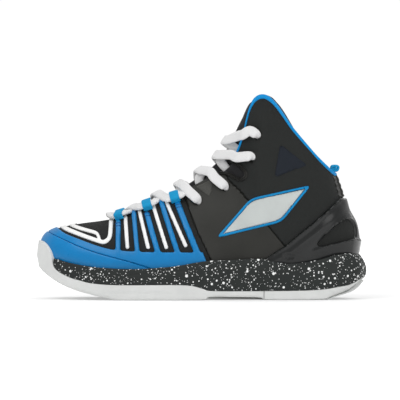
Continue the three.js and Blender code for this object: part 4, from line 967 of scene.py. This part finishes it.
def wallRing(inset, z):
    xy = planPoint - outward[:, :2] * np.broadcast_to(inset, len(planPoint))[:, None]
    return np.concatenate([xy, np.broadcast_to(z, len(planPoint))[:, None]], 1)


wallX = planPoint[:, 0]
rubberTop = lineZ("rubber", wallX)
groundZ = np.maximum(np.minimum(lineZ("ground", wallX), rubberTop - 3), 0)
rimTop = lineZ("rim", wallX)


def treadDepth(x, y):
    # Herringbone grooves: a wave whose phase turns back and forth across the sole.
    zigzag = np.abs(((y / 17) % 2) - 1) * 10
    wave = np.sin(2 * math.pi * (x + zigzag) / sole["treadPitch"])
    return sole["tread"] * np.clip(wave * 2.2 + 0.3, 0, 1)


def groove(z, x0, x1, z0, z1, width, depth):
    # A soft line pressed into the side wall from (x0, z0) to (x1, z1).
    along = np.clip((wallX - x0) / (x1 - x0), 0, 1)
    ends = np.clip((wallX - x0) / 8, 0, 1) * np.clip((x1 - wallX) / 8, 0, 1)
    return depth * ends * np.exp(-((z - z0 - (z1 - z0) * along) / width) ** 2)


def innerRows(surfaceZ, shares):
    rows = []
    for share in shares:
        r = inwardRing(share, 0)
        r[:, 2] = surfaceZ(r[:, 0])
        rows.append(r)
    return rows


def featherZ(x):
    return np.interp(x, stations[:, 0], stations[:, 3])


def outsoleRows():
    # Underside with tread, rounded edge, wall up to the foam, lip, and a top hidden under the foam.
    rows = []
    for share in np.linspace(1, 0.05, 60):
        r = inwardRing(share, 0)
        base = np.maximum(np.minimum(lineZ("ground", r[:, 0]), lineZ("rubber", r[:, 0]) - 3), 0)
        margin = np.clip((share - 0.07) / 0.05, 0, 1) * np.clip((r[:, 0] + 140) / 10, 0, 1)
        r[:, 2] = base + treadDepth(r[:, 0], r[:, 1]) * margin
        rows.append(r)
    radius, top = sole["edgeRadius"], 0.8
    for angle in np.linspace(0.15, 1, 6) * math.pi / 2:
        z = groundZ + radius * (1 - math.cos(angle))
        rows.append(wallRing(wallInset(z) + radius * (1 - math.sin(angle)), z))
    for share in np.linspace(0, 1, 16)[1:]:
        z = groundZ + radius + (rubberTop - top - groundZ - radius) * share
        rows.append(wallRing(wallInset(z) + groove(z, -90, -24, 6.5, 6.5, 1.3, 0.55), z))
    for angle in np.linspace(0, 1, 5)[1:] * math.pi / 2:
        z = rubberTop - top * (1 - math.sin(angle))
        rows.append(wallRing(wallInset(z) + top * (1 - math.cos(angle)), z))
    lip = np.clip(reach - surfaceGap(rubberTop) + 0.6, 2, 8)
    rows.append(wallRing(lip, rubberTop))
    rows.append(wallRing(lip + 0.6, np.minimum(rubberTop, featherZ(wallX) - 3.5)))
    rows += innerRows(lambda x: np.minimum(lineZ("rubber", x), featherZ(x) - 3.5), (0.45, 0.7, 1))
    return rows


def midsoleRows():
    # Foam wall from the rubber to the rim, rolled over into the shell, then the foot's cup.
    hidden = np.clip((rubberTop - rimTop + 6) / 4, 0, 1)
    lowZ = np.minimum(rubberTop + 0.25, rimTop - 3.2)
    behind = hidden * 3.6
    rows = innerRows(lambda x: np.minimum(lineZ("rubber", x) + 0.25, featherZ(x) - 3.2), (1, 0.7, 0.4))
    rows.append(wallRing(4 + behind, lowZ))
    top = 1.5
    for angle in np.linspace(0, 1, 4) * math.pi / 2:
        z = lowZ + 0.7 * (1 - math.cos(angle))
        rows.append(wallRing(wallInset(z) + behind + 0.15 + 0.7 * (1 - math.sin(angle)), z))
    for share in np.linspace(0, 1, 22)[1:]:
        z = lowZ + 0.7 + (rimTop - top - lowZ - 0.7) * share
        line = groove(z, -96, -12, 21, 27.5, 0.9, 0.6)
        rows.append(wallRing(wallInset(z) + behind + 0.15 + line, z))
    for angle in np.linspace(0, 1, 6)[1:] * math.pi / 2:
        z = rimTop - top * (1 - math.sin(angle))
        rows.append(wallRing(wallInset(z) + behind + 0.15 + top * (1 - math.cos(angle)), z))
    face = reach - surfaceGap(rimTop)
    rows.append(wallRing(np.maximum(face + 0.3, wallInset(rimTop) + behind + top + 0.4), rimTop - 0.4))
    rows.append(wallRing(np.maximum(face + 2.3, wallInset(rimTop) + behind + top + 0.8), rimTop - 2.5))
    rows.append(wallRing(reach + 1.5, featherZ(wallX) - 0.8))
    rows += innerRows(lambda x: featherZ(x) - 0.8, (0.5, 0.75, 1))
    return rows


def halved(points, triangles, name, node, x, keepLow):
    # One side of the closed outsole, cut across at x and closed there.
    data = bpy.data.meshes.new(name)
    data.from_pydata(points.tolist(), [], triangles.tolist())
    shape = bmesh.new()
    shape.from_mesh(data)
    bmesh.ops.recalc_face_normals(shape, faces=shape.faces)
    geometry = shape.verts[:] + shape.edges[:] + shape.faces[:]
    bmesh.ops.bisect_plane(shape, geom=geometry, dist=1e-5, plane_co=(x, 0, 0), plane_no=(1, 0, 0),
                           clear_outer=keepLow, clear_inner=not keepLow)
    bmesh.ops.holes_fill(shape, edges=[e for e in shape.edges if e.is_boundary])
    bmesh.ops.triangulate(shape, faces=[f for f in shape.faces if len(f.verts) > 3])
    shape.verts.ensure_lookup_table()
    shape.verts.index_update()
    cutPoints = np.array([v.co[:] for v in shape.verts])
    cutFaces = np.array([[v.index for v in f.verts] for f in shape.faces])
    shape.free()
    bpy.data.meshes.remove(data)
    meshPiece(name, cutPoints, cutFaces, "rubber", "shoe", [node], cutPoints[:, [0, 2]], 40)


points, triangles = loft(outsoleRows())
halved(points, triangles, "forefootOutsole", "outsole_forefoot", sole["split"], True)
halved(points, triangles, "heelOutsole", "outsole_heel", sole["split"] + 2 * fit, False)
points, triangles = loft(midsoleRows())
meshPiece("speckledMidsole", points, triangles, "foam", "shoe", ["midsole"],
          points[:, [0, 2]], 40)
print("soles made")

# ---- inside the upper: depths below its face ----
wallBack, liningThick = 3.6, 1.4


def paddingAt(u, b):
    # Foam between shell and lining: thickest round the ankle, least at the toe and the front of the collar.
    behind = np.clip((u - 11) / 3, 0, 1)
    up = np.clip((b - 0.35) / 0.35, 0, 1)
    return 1.6 + 6.4 * behind ** 2 * (3 - 2 * behind) * up ** 2 * (3 - 2 * up)


def liningInner(u, b):
    return -wallBack - paddingAt(u, b) - fit - liningThick


def ringFaces(rows, columns):
    # Triangles between rings of points, each ring closed on itself.
    i = np.arange(rows - 1)[:, None] * columns
    j = np.arange(columns)[None, :]
    a, b = (i + j).ravel(), (i + (j + 1) % columns).ravel()
    return np.concatenate([np.stack([a, b, b + columns], 1), np.stack([a, b + columns, a + columns], 1)])


def superellipse(sides, acrossPower, upPower):
    # Cosine and sine round a full turn, squared off by their powers.
    turn = np.linspace(0, 2 * math.pi, sides, endpoint=False)
    c, s = np.cos(turn), np.sin(turn)
    return np.sign(c) * np.abs(c) ** acrossPower, np.sign(s) * np.abs(s) ** upPower


def sweepPiece(name, sections, finish, body, replaced, looped=False):
    # Closed sections along a path (section, point, xyz); the two ends meet, or each closes to a point.
    if looped:
        sections = np.concatenate([sections, sections[:1]])
    n, m = sections.shape[:2]
    triangles = ringFaces(n, m)
    points = sections.reshape(-1, 3)
    across = np.linalg.norm(np.diff(np.concatenate([sections, sections[:, :1]], 1), axis=1), axis=2)
    around = np.concatenate([np.zeros((n, 1)), np.cumsum(across, 1)[:, :-1]], 1)
    centres = sections.mean(1)
    length = np.concatenate([[0], np.cumsum(np.linalg.norm(np.diff(centres, axis=0), axis=1))])
    uv = np.stack([np.broadcast_to(length[:, None], (n, m)), around], -1).reshape(-1, 2)
    if looped:
        points, triangles, (uv,) = weld(points, triangles, (uv,))
    else:
        for end, at in ((0, 0), (n - 1, (n - 1) * m)):
            tip = len(points)
            points = np.concatenate([points, centres[end][None]])
            uv = np.concatenate([uv, uv[at][None]])
            j = np.arange(m)
            fan = np.stack([np.full(m, tip), at + (j + 1) % m, at + j], 1)
            triangles = np.concatenate([triangles, fan if end == 0 else fan[:, ::-1]])
    volume = np.einsum("ij,ij->i", points[triangles[:, 0]],
                       np.cross(points[triangles[:, 1]], points[triangles[:, 2]])).sum()
    if volume < 0:
        triangles = triangles[:, ::-1]
    return meshPiece(name, points, triangles, finish, body, replaced, uv)


# ---- collar: padded lining that rolls over the foam to the binding ----
collar = {"from": 7.0, "columns": 12, "roll": 5.5, "inner": 26, "lowest": 0.03, "behind": -3.7,
          "turn": 11, "down": 8, "puff": 1.6, "quilt": 0.5, "quiltPitch": 1.5}


def collarSection(side, u):
    # Closed profile at one station: up the inner face, over the roll, down behind the shell.
    wall = np.interp(u, np.arange(lastStation + 1), stations[:, 6] - stations[:, 3])
    rollShare = collar["roll"] / wall
    crest = 1 - rollShare * 0.95
    b = np.linspace(collar["lowest"], crest, collar["inner"])
    puff = collar["puff"] * np.clip((u - 10) / 3, 0, 1)
    puff = puff * np.clip((b - 0.45) / 0.2, 0, 1) * np.clip((1.02 - b) / 0.12, 0, 1)
    wave = np.cos(2 * math.pi * u / collar["quiltPitch"])
    quilt = collar["quilt"] * puff * wave * np.clip((0.9 - b) / 0.1, 0, 1)
    depth = liningInner(u, b) - puff - quilt
    t = np.linspace(0, 1, collar["turn"])[1:-1]
    turnB = crest + rollShare * 0.9 * np.sin(t * math.pi)
    turnDepth = depth[-1] + (collar["behind"] - depth[-1]) * (1 - np.cos(t * math.pi)) / 2
    downB = np.linspace(crest, collar["lowest"], collar["down"])
    allB = np.concatenate([b, turnB, downB])
    allDepth = np.concatenate([depth, turnDepth, np.full(collar["down"], collar["behind"])])
    count = len(allB)
    return offOutside(np.full(count, side), np.full(count, u), np.minimum(allB, 1), allDepth)


collarU = np.arange(collar["from"], lastStation, 1 / collar["columns"])
sections = [collarSection(-1, u) for u in collarU] + [collarSection(-1, float(lastStation))]
sections += [collarSection(1, u) for u in collarU[::-1]]
collarPad = sweepPiece("collarPad", np.array(sections), "lining", "shoe", ["collar_lining", "collar_foam"])
print("collar pad made")

# ---- binding: folded tape round the topline and down the front of the collar ----
binding = {"from": 9.35, "depth": -2.75, "down": 1.7, "wide": 2.6, "tall": 2.15, "sides": 18,
           "ends": (0.5, 0.8, 0.95)}


def bindingLine(side, u):
    # Middle of the tape, its outward direction and its upward direction at a station.
    one = np.ones_like(u)
    edge = outside(side, u, one)
    up = edge - outside(side, u, one * 0.97)
    up /= np.linalg.norm(up, axis=1, keepdims=True)
    out = normal(side, u, one)
    return edge + out * binding["depth"] - up * binding["down"], out, up


bindingU = np.linspace(binding["from"], lastStation, 150)
ends = [bindingLine(-1, bindingU), bindingLine(1, bindingU[-2::-1])]
middleLine, out, up = (np.concatenate([a, b]) for a, b in zip(*ends))
ca, sa = superellipse(binding["sides"], 0.8, 0.8)
taper = np.ones(len(middleLine))
taper[:3] = binding["ends"]
taper[-3:] = binding["ends"][::-1]
sections = (middleLine[:, None] + out[:, None] * (ca * binding["wide"])[None, :, None] * taper[:, None, None]
            + up[:, None] * (sa * binding["tall"])[None, :, None] * taper[:, None, None])
sweepPiece("collarBindingTape", sections, "binding", "shoe", ["collar_binding"])
print("binding made")

# ---- tongue: padded, arched under the lace ----
tongue = {"line": [(3.7, -84.5, 62.6), (4.3, -76, 67.2), (5, -62, 77.6), (6, -41, 89.5), (7, -18.5, 100.5),
                   (8, 2, 113.5), (9, 17.5, 126.5), (10, 28.5, 144), (11, 40.5, 170), (11.5, 46.5, 182.5)],
          "sides": (0.74, 0.85, 0.94), "depth": 5.9, "puff": 1.3, "low": 3.7, "high": 11.5,
          "channel": 0.62, "seat": 1.2}


def tongueControl(u):
    # Nine control points across the tongue at each station.
    line = np.array(tongue["line"])
    middleXZ = np.stack([np.interp(u, line[:, 0], line[:, 1]), np.interp(u, line[:, 0], line[:, 2])], 1)

    def wall(side, b):
        return offOutside(np.full(len(u), side), u, np.full(len(u), b), liningInner(u, b) - tongue["depth"])
    lateral = [wall(-1, b) for b in tongue["sides"]]
    medial = [wall(1, b) for b in tongue["sides"]][::-1]
    centre = np.stack([middleXZ[:, 0], (wall(-1, 1)[:, 1] + wall(1, 1)[:, 1]) / 2, middleXZ[:, 1]], 1)
    crown = centre - (lateral[-1] + medial[0]) / 2
    shoulders = [edge + (centre - edge) * 0.55 + crown * 0.28 for edge in (lateral[-1], medial[0])]
    return np.stack([*lateral, shoulders[0], centre, shoulders[1], *medial], 1)


def tongueAt(u, t):
    # Catmull-Rom across the control points; t runs from -1 (lateral edge) to 1.
    u, t = np.broadcast_arrays(np.atleast_1d(np.asarray(u, float)), np.asarray(t, float))
    shape = u.shape
    u, t = u.ravel(), t.ravel()
    rows, back = np.unique(u, return_inverse=True)
    control = tongueControl(rows)[back.ravel()]
    place = (np.clip(t, -1, 1) + 1) / 2 * 8
    i = np.clip(np.floor(place).astype(int), 0, 7)
    f = (place - i)[:, None]
    k = np.arange(len(u))
    b, c = control[k, i], control[k, i + 1]
    a = np.where((i > 0)[:, None], control[k, np.maximum(i - 1, 0)], 2 * b - c)
    d = np.where((i < 7)[:, None], control[k, np.minimum(i + 2, 8)], 2 * c - b)
    return catmullRom(a, b, c, d, f).reshape(*shape, 3)


def tongueNormal(u, t, step=0.03):
    u, t = np.broadcast_arrays(np.atleast_1d(np.asarray(u, float)), np.asarray(t, float))
    ahead, behind = np.minimum(u + step, tongue["high"]), np.maximum(u - step, tongue["low"])
    along = tongueAt(ahead, t) - tongueAt(behind, t)
    across = tongueAt(u, np.minimum(t + step, 1)) - tongueAt(u, np.maximum(t - step, -1))
    n = np.cross(along, across)
    return n / np.linalg.norm(n, axis=-1, keepdims=True)


def onTongue(u, t, height):
    return tongueAt(u, t) + tongueNormal(u, t) * np.asarray(height, float)[..., None]


def tonguePiece(name, finish, node, lowHeight, highHeight, puff):
    # Closed sections at each station: over the outer face and back along the inner one.
    u = np.linspace(tongue["low"] + 0.02, tongue["high"] - 0.02, 90)
    t = np.linspace(-0.99, 0.99, 44)
    channels = 0.5 + 0.5 * np.cos(2 * math.pi * np.abs(t) / tongue["channel"])
    lengthwise = np.clip((u - tongue["low"]) / 0.5, 0, 1) * np.clip((tongue["high"] - u) / 0.3, 0, 1)
    soft = rim(1 - np.abs(t), 0.12)[None, :] * rim(lengthwise, 1)[:, None]
    stitched = 0.55 + 0.45 * np.abs(np.sin(math.pi * (u[:, None] - tongue["low"]) / tongue["seat"])) ** 0.5
    middleHeight = (lowHeight + highHeight) / 2
    swell = puff * (0.35 + 0.65 * channels)[None, :] * stitched * soft
    topHeight = middleHeight + (highHeight - middleHeight) * (0.25 + 0.75 * soft) + swell
    lowFace = middleHeight + (lowHeight - middleHeight) * (0.25 + 0.75 * soft)
    gu, gt = np.meshgrid(u, t, indexing="ij")
    outer = onTongue(gu, gt, topHeight)
    inner = onTongue(gu, gt, lowFace)
    return sweepPiece(name, np.concatenate([outer, inner[:, ::-1]], 1), finish, "tongue", [node])


tonguePad = tonguePiece("tonguePad", "tongue", "tongue", -2.6, 0.0, tongue["puff"])
tonguePiece("tongueBacking", "lining", "tongue_lining", -5.0, -3.4, 0.0)
print("tongue made")

# ---- lace: flat and soft, over the tongue, through loops and into eyelets ----
lace = {"turns": [(-74, 76.2), (-49, 85.5), (-23.8, 93.4), *eyelets["places"]], "loops": 3,
         "over": (0, 0, 0, 7.15, 8.25, 9.33, 10.02), "under": (0, 0, 0, 7.75, 9, 9.85, 9.8),
        "radius": 2.1, "clearance": 0.5, "wide": 4.7, "narrow": 3.9, "hole": 3.1, "thick": 2.0, "lift": 3.0,
        "barBefore": 0.25, "barLift": 3.6, "barHalf": 3.6, "relax": 10, "relaxFacing": 6}
loop = {"width": 8.6, "half": 4.4, "foot": 1.0, "low": -1.2, "high": 5.3, "thick": 1.25, "round": 1.7}


def single(value):
    return np.array([float(value)])


def onSkin(side, u, b, height):
    # A point over the upper's face and the normal there.
    at = (single(side), single(u), single(b))
    return offOutside(*at, single(height))[0], normal(*at)[0]


def throatDirection(side, u, b):
    # The surface's direction from toe to heel.
    ahead, behind = (outside(single(side), single(u + step), single(b))[0] for step in (0.05, -0.05))
    return (ahead - behind) / np.linalg.norm(ahead - behind)


laceTurns = [{side: tuple(v[0] for v in placeOf(side, x, z)) for side in (-1, 1)} for x, z in lace["turns"]]


def overTongue(u, t, height):
    return onTongue(single(u), single(t), single(height))[0], tongueNormal(single(u), single(t))[0]


def laceHalf(firstSide):
    # Stops of one half of the lace: position, facing and half width, from the toe bar to the hidden end.
    stops = []

    def stop(place, half):
        stops.append((place[0], place[1], half))
    over0 = lace["radius"] + lace["clearance"] - 0.5
    spare = 1.6 * lace["clearance"]
    for k, places in enumerate(laceTurns):
        side = firstSide if k % 2 == 0 else -firstSide
        u, b = places[side]
        over, under = lace["over"][k], lace["under"][k]
        if k < lace["loops"]:
            middle, facing = onSkin(side, u, b, lace["lift"])
            along = throatDirection(side, u, b)
            for reachAlong, half in ((-0.8, 4.2), (-0.3, lace["narrow"]), (0.3, lace["narrow"]), (0.8, 4.2)):
                stop((middle + along * reachAlong * loop["width"], facing), half)
        else:
            edge, facing = onSkin(side, over, 1, lace["clearance"])
            at = (single(side), single(over))
            inward = outside(*at, single(1))[0] - outside(*at, single(0.97))[0]
            stop((edge + inward / np.linalg.norm(inward) * (lace["radius"] + 1.6), facing), lace["wide"])
            stop(onSkin(side, over * 0.75 + u * 0.25, 0.75 + b * 0.25, over0 + 0.9), lace["wide"])
            stop(onSkin(side, over * 0.35 + u * 0.65, 0.35 + b * 0.65, over0 + 0.5), lace["wide"])
            stop(onSkin(side, u, b + 0.004, over0 - 0.1), 4.4)
            depth = liningInner(u, b) - lace["radius"] - lace["clearance"]
            stop(onSkin(side, u, b - 0.004, (depth + over0) / 2), lace["hole"])
            stop(onSkin(side, u, b, depth), lace["hole"])
            halfway = (u + under) / 2
            deep = liningInner(halfway, 0.9) - lace["radius"] - lace["clearance"]
            stop(onSkin(side, halfway, (b + 0.94) / 2, deep), lace["narrow"])
            last = liningInner(under, 0.94) - lace["radius"] - lace["clearance"]
            stop(onSkin(side, under, 0.94, last), 3.6)
        if k == len(laceTurns) - 1:
            return stops
        nextU = laceTurns[k + 1][-side][0]
        start = u + 0.3 if k < lace["loops"] else under
        end = nextU - 0.3 if k + 1 < lace["loops"] else lace["over"][k + 1]
        above = (firstSide > 0) == (k % 2 == 0)
        layer = lace["radius"] + lace["clearance"]
        height = (3 * layer - 1 if above else layer) + spare
        centre = (start + end) / 2
        if k >= lace["loops"]:
            stop(overTongue(start, side * 0.3, over0 + 0.8), 4.2)
        stop(overTongue(start + (centre - start) * 0.7, side * 0.14, height), lace["wide"])
        stop(overTongue(centre, 0, height), lace["wide"])
        stop(overTongue(end + (centre - end) * 0.7, -side * 0.14, height), lace["wide"])


def centripetal(p, steps):
    # Catmull-Rom with knots spaced by the root of the distance, steps on each span.
    p = np.concatenate([2 * p[:1] - p[1:2], p, 2 * p[-1:] - p[-2:-1]])
    p0, p1, p2, p3 = p[:-3], p[1:-2], p[2:-1], p[3:]

    def gap(a, b):
        return np.maximum(np.linalg.norm((b - a)[:, :3], axis=1), 1e-4)[:, None] ** 0.5
    d0, d1, d2 = gap(p0, p1), gap(p1, p2), gap(p2, p3)
    m1 = ((p1 - p0) / d0 - (p2 - p0) / (d0 + d1) + (p2 - p1) / d1) * d1
    m2 = ((p2 - p1) / d1 - (p3 - p1) / (d1 + d2) + (p3 - p2) / d2) * d1
    t = (np.arange(steps) / steps)[None, :, None]
    p1, p2, m1, m2 = (v[:, None] for v in (p1, p2, m1, m2))
    line = ((2 * t ** 3 - 3 * t ** 2 + 1) * p1 + (t ** 3 - 2 * t ** 2 + t) * m1
            + (3 * t ** 2 - 2 * t ** 3) * p2 + (t ** 3 - t ** 2) * m2)
    return np.concatenate([line.reshape(-1, p.shape[1]), p[-2:-1]])


def relaxed(line, times):
    # Each inner point moves halfway to the mean of its neighbours, as many times.
    for _ in range(times):
        line = np.concatenate([line[:1], (line[:-2] + 2 * line[1:-1] + line[2:]) / 4, line[-1:]])
    return line


barTop = onSkin(1, throatStation - lace["barBefore"], 1, lace["barLift"])[0]
stops = laceHalf(-1)[::-1] + [(barTop, np.array([0, 0, 1.0]), lace["barHalf"])] + laceHalf(1)
route = centripetal(np.array([np.concatenate([p, n, [half]]) for p, n, half in stops]), 9)
centreLine, facing, halfWidth = route[:, :3], route[:, 3:6], route[:, 6]
centreLine = relaxed(centreLine, lace["relax"])
tangent = np.gradient(centreLine, axis=0)
tangent /= np.linalg.norm(tangent, axis=1, keepdims=True)
facing = facing - tangent * (facing * tangent).sum(1, keepdims=True)
facing = relaxed(facing, lace["relaxFacing"])
facing -= tangent * (facing * tangent).sum(1, keepdims=True)
facing /= np.linalg.norm(facing, axis=1, keepdims=True)
across = np.cross(tangent, facing)
ca, sa = superellipse(20, 0.85, 0.7)
swell = lace["thick"] * (lace["wide"] / halfWidth) ** 0.35
sections = (centreLine[:, None] + across[:, None] * (halfWidth[:, None] * ca[None, :])[..., None]
            + facing[:, None] * (swell[:, None] * (sa * (1 - 0.12 * (1 - np.abs(ca))))[None, :])[..., None])
sweepPiece("flatLace", sections, "lace", "shoe", ["lace"])
laceLength = np.linalg.norm(np.diff(centreLine, axis=0), axis=1).sum()
print("lace made, mm long:", round(float(laceLength)))


def strap(name, sizes, centre, acrossDir, upDir, alongDir, body, node):
    # Webbing folded into a closed ring: a rounded outline in the across-up plane, narrowed at its foot.
    half, low, high = sizes["half"], sizes["low"], sizes["high"]
    foot = half * sizes["foot"]
    line = rounded([(foot, low), (half, high), (-half, high), (-foot, low)], sizes["round"], 6)
    ahead = np.roll(line, -1, 0) - np.roll(line, 1, 0)
    ahead /= np.linalg.norm(ahead, axis=1, keepdims=True)
    outDir = np.stack([ahead[:, 1], -ahead[:, 0]], 1)
    c, s = superellipse(20, 0.25, 0.6)
    wide, deep = c * sizes["width"] / 2, s * sizes["thick"] / 2
    flat = line[:, None, :] + outDir[:, None, :] * deep[None, :, None]
    points = (centre + flat[..., :1] * acrossDir + flat[..., 1:] * upDir
              + np.broadcast_to(wide[None, :, None], (*flat.shape[:2], 1)) * alongDir)
    sweepPiece(name, points, "webbing", body, [node], looped=True)


for k in range(lace["loops"]):
    for name, side in bothSides:
        u, b = laceTurns[k][side]
        centre, up = onSkin(side, u, b, 0)
        along = throatDirection(side, u, b)
        acrossDir = np.cross(up, along)
        acrossDir /= np.linalg.norm(acrossDir)
        up = np.cross(along, acrossDir)
        strap(f"webbingLoop_{name}_{k + 1}", loop, centre, acrossDir, up, along, "shoe",
              f"lace_loop_{name}_{k + 1}")

stitches = {"below": (5.9, 8.4), "half": 2.1, "width": 0.95}
for k, rib in enumerate((0, 2, 4)):
    x0, z0, x1, z1, _ = ribs[rib]
    for row, below in enumerate(stitches["below"]):
        z = lace["turns"][k][1] - below
        x = x0 + (x1 - x0) * (z - z0) / (z1 - z0)
        field = onPen([(x - stitches["half"], z - 0.4), (x + stitches["half"], z + 0.4)], stitches["width"])
        for name, side in bothSides:
            patch(f"barTack_{name}_{k + 1}_{row + 1}", field, "stitch", [], "webbing_blue", base=-0.4,
                  thick=0.95, edge=0.4, step=0.35, sides=(side,), uSpan=(4.0 + k, 6.5 + k), bSpan=(0.4, 1))

# ---- pull tab: a folded loop of webbing at the heel ----
pullTab = {"width": 14, "half": 3.5, "foot": 0.75, "low": 1.3, "high": 5.7, "thick": 2.4, "round": 2.4,
           "x": -1.4, "core": (2.1, 1.2), "sewn": 1.6, "free": 6.0}
heelTop = outside(single(1), single(lastStation), single(1))[0]
centre = np.array([heelTop[0] + pullTab["x"], 0, heelTop[2]])
sewn, free = (tuple((centre + (0, 0, pullTab[end])) * grade + shift) for end in ("sewn", "free"))
strap("heelPullTab", pullTab, centre, np.array([1.0, 0, 0]), np.array([0, 0, 1.0]), np.array([0, 1.0, 0]),
      ("shoe", "pull_tab", sewn, free), "pull_tab")
middleZ = (pullTab["low"] + pullTab["high"]) / 2
turn = np.linspace(0, 2 * math.pi, 16, endpoint=False)
core = np.stack([centre[0] + pullTab["core"][0] * np.cos(turn), 0 * turn,
                 centre[2] + middleZ + pullTab["core"][1] * np.sin(turn)], 1)
spread = np.linspace(-0.46, 0.46, 5) * pullTab["width"]
coreSections = core[None] + np.array([0, 1.0, 0]) * spread[:, None, None]
sweepPiece("pullTabCore", coreSections, "webbing", "pull_tab", [])
print("lace loops and pull tab made")

# ---- insole ----
insole = {"inset": 11.2, "base": 2.35, "thick": 4.4, "round": 1.4, "dish": 0.9, "heelRoom": 2.5}


def insoleRing(insetBy, share, height):
    xy = feather[:, :2] - outward[:, :2] * (insetBy + insole["heelRoom"] * heelward[:, None])
    innerX = np.clip(xy[:, 0], -95, 95)
    inner = np.stack([innerX, np.interp(innerX, stations[:, 0], stations[:, 7])], 1)
    xy = xy * (1 - share) + inner * share
    return np.concatenate([xy, (featherZ(xy[:, 0]) + height)[:, None]], 1)


rows = [insoleRing(insole["inset"] + 0.6, share, insole["base"]) for share in (1, 0.6, 0.2, 0)]
rows += [insoleRing(insole["inset"], 0, insole["base"] + h)
         for h in (0.6, 2.2, insole["thick"] - insole["round"])]
for angle in np.linspace(0, math.pi / 2, 5)[1:]:
    rows.append(insoleRing(insole["inset"] + insole["round"] * (1 - math.cos(angle)), 0,
                           insole["base"] + insole["thick"] - insole["round"] * (1 - math.sin(angle))))
top = insole["base"] + insole["thick"]
rows += [insoleRing(insole["inset"] + insole["round"], share,
                    top - insole["dish"] * math.sin(share * math.pi / 2))
         for share in (0.08, 0.2, 0.35, 0.5, 0.65, 0.8, 0.9, 1)]
points, triangles = loft(rows)
meshPiece("insoleBed", points, triangles, "insole", "insole", ["insole"], points[:, :2])
print("insole made")

# ---- CAD nodes that stay, inside the shoe ----
kept = {"vamp_lining": "lining", "heel_counter": "stiffener", "toe_puff": "stiffener",
        "heel_cushion": "padFoam", "forefoot_cushion": "padFoam", "shank_plate": "shank",
        "strobel_board": "board", "aglet_lateral": "aglet", "aglet_medial": "aglet"}
for nodeName, finish in kept.items():
    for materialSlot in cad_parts[nodeName].material_slots:
        materialSlot.material = finishes[finish]

# ---- studio ----
# The sky is white to the camera and half as strong as a light; the floor's glow grows with distance.
studio = {"floor": 4.0, "sky": 1.02, "ambient": 0.5, "glowNear": 0.24, "glowFar": 0.68, "glowFrom": 0.25,
          "glowTo": 0.75}
lights = [  # name, place, aim, size, watts
    ("keyLight", (-0.6, -1.1, 1.3), (0, 0, 0.08), 1.1, 9),
    ("fillLight", (0.9, -1.0, 0.7), (0.05, 0, 0.08), 0.9, 4),
    ("topLight", (0.0, 0.2, 1.6), (0, 0, 0.05), 1.4, 8),
    ("backLight", (0.5, 1.3, 0.9), (0, 0, 0.1), 1.0, 4),
]


def floorFinish():
    # White sweep: a matt floor with painted light, a glow that grows with distance from the shoe, so the far
    # floor reads white while the contact shadows near the shoe stay.
    f = Finish("floorWhite", (0.8, 0.8, 0.8), 0.95)
    f.shader.inputs["Specular IOR Level"].default_value = 0.0
    f.shader.inputs["Emission Color"].default_value = (1, 1, 1, 1)
    away = f.add("ShaderNodeVectorMath", {0: f.place()}, operation="LENGTH").outputs["Value"]
    span = {"From Min": studio["glowFrom"], "From Max": studio["glowTo"], "To Min": studio["glowNear"],
            "To Max": studio["glowFar"]}
    # The glow is painted light: weak near the shoe where its contact shadows fall, strong far off where the
    # floor must read as white.
    glow = f.add("ShaderNodeMapRange", {"Value": away, **span})
    f.link(glow.outputs["Result"], "Emission Strength")
    f.link(f.mix(f.noise(f.place(), 3, 2), (0.79, 0.79, 0.79), (0.81, 0.81, 0.81)), "Base Color")
    return f.material


def makeStudio():
    reachOut = studio["floor"]
    data = bpy.data.meshes.new("floor")
    data.from_pydata([(-reachOut, -reachOut, 0), (reachOut, -reachOut, 0), (reachOut, reachOut, 0),
                      (-reachOut, reachOut, 0)], [], [(0, 1, 2, 3)])
    data.materials.append(floorFinish())
    floor = bpy.data.objects.new("floor", data)
    bpy.context.collection.objects.link(floor)
    world = bpy.data.worlds.new("sky")
    world.use_nodes = True
    tree = world.node_tree
    ray = tree.nodes.new("ShaderNodeLightPath").outputs["Is Camera Ray"]
    strength = tree.nodes.new("ShaderNodeMapRange")
    strength.inputs["To Min"].default_value = studio["ambient"]
    strength.inputs["To Max"].default_value = studio["sky"]
    tree.links.new(ray, strength.inputs["Value"])
    background = tree.nodes["Background"]
    background.inputs["Color"].default_value = (1, 1, 1, 1)
    tree.links.new(strength.outputs["Result"], background.inputs["Strength"])
    bpy.context.scene.world = world
    for name, place, aim, size, watts in lights:
        data = bpy.data.lights.new(name, "AREA")
        data.energy, data.size = watts, size
        lamp = bpy.data.objects.new(name, data)
        lamp.location = place
        lamp.rotation_euler = (Vector(aim) - Vector(place)).to_track_quat("-Z", "Y").to_euler()
        bpy.context.collection.objects.link(lamp)
    bpy.context.scene.view_settings.view_transform = "Standard"


makeStudio()
print("studio made")
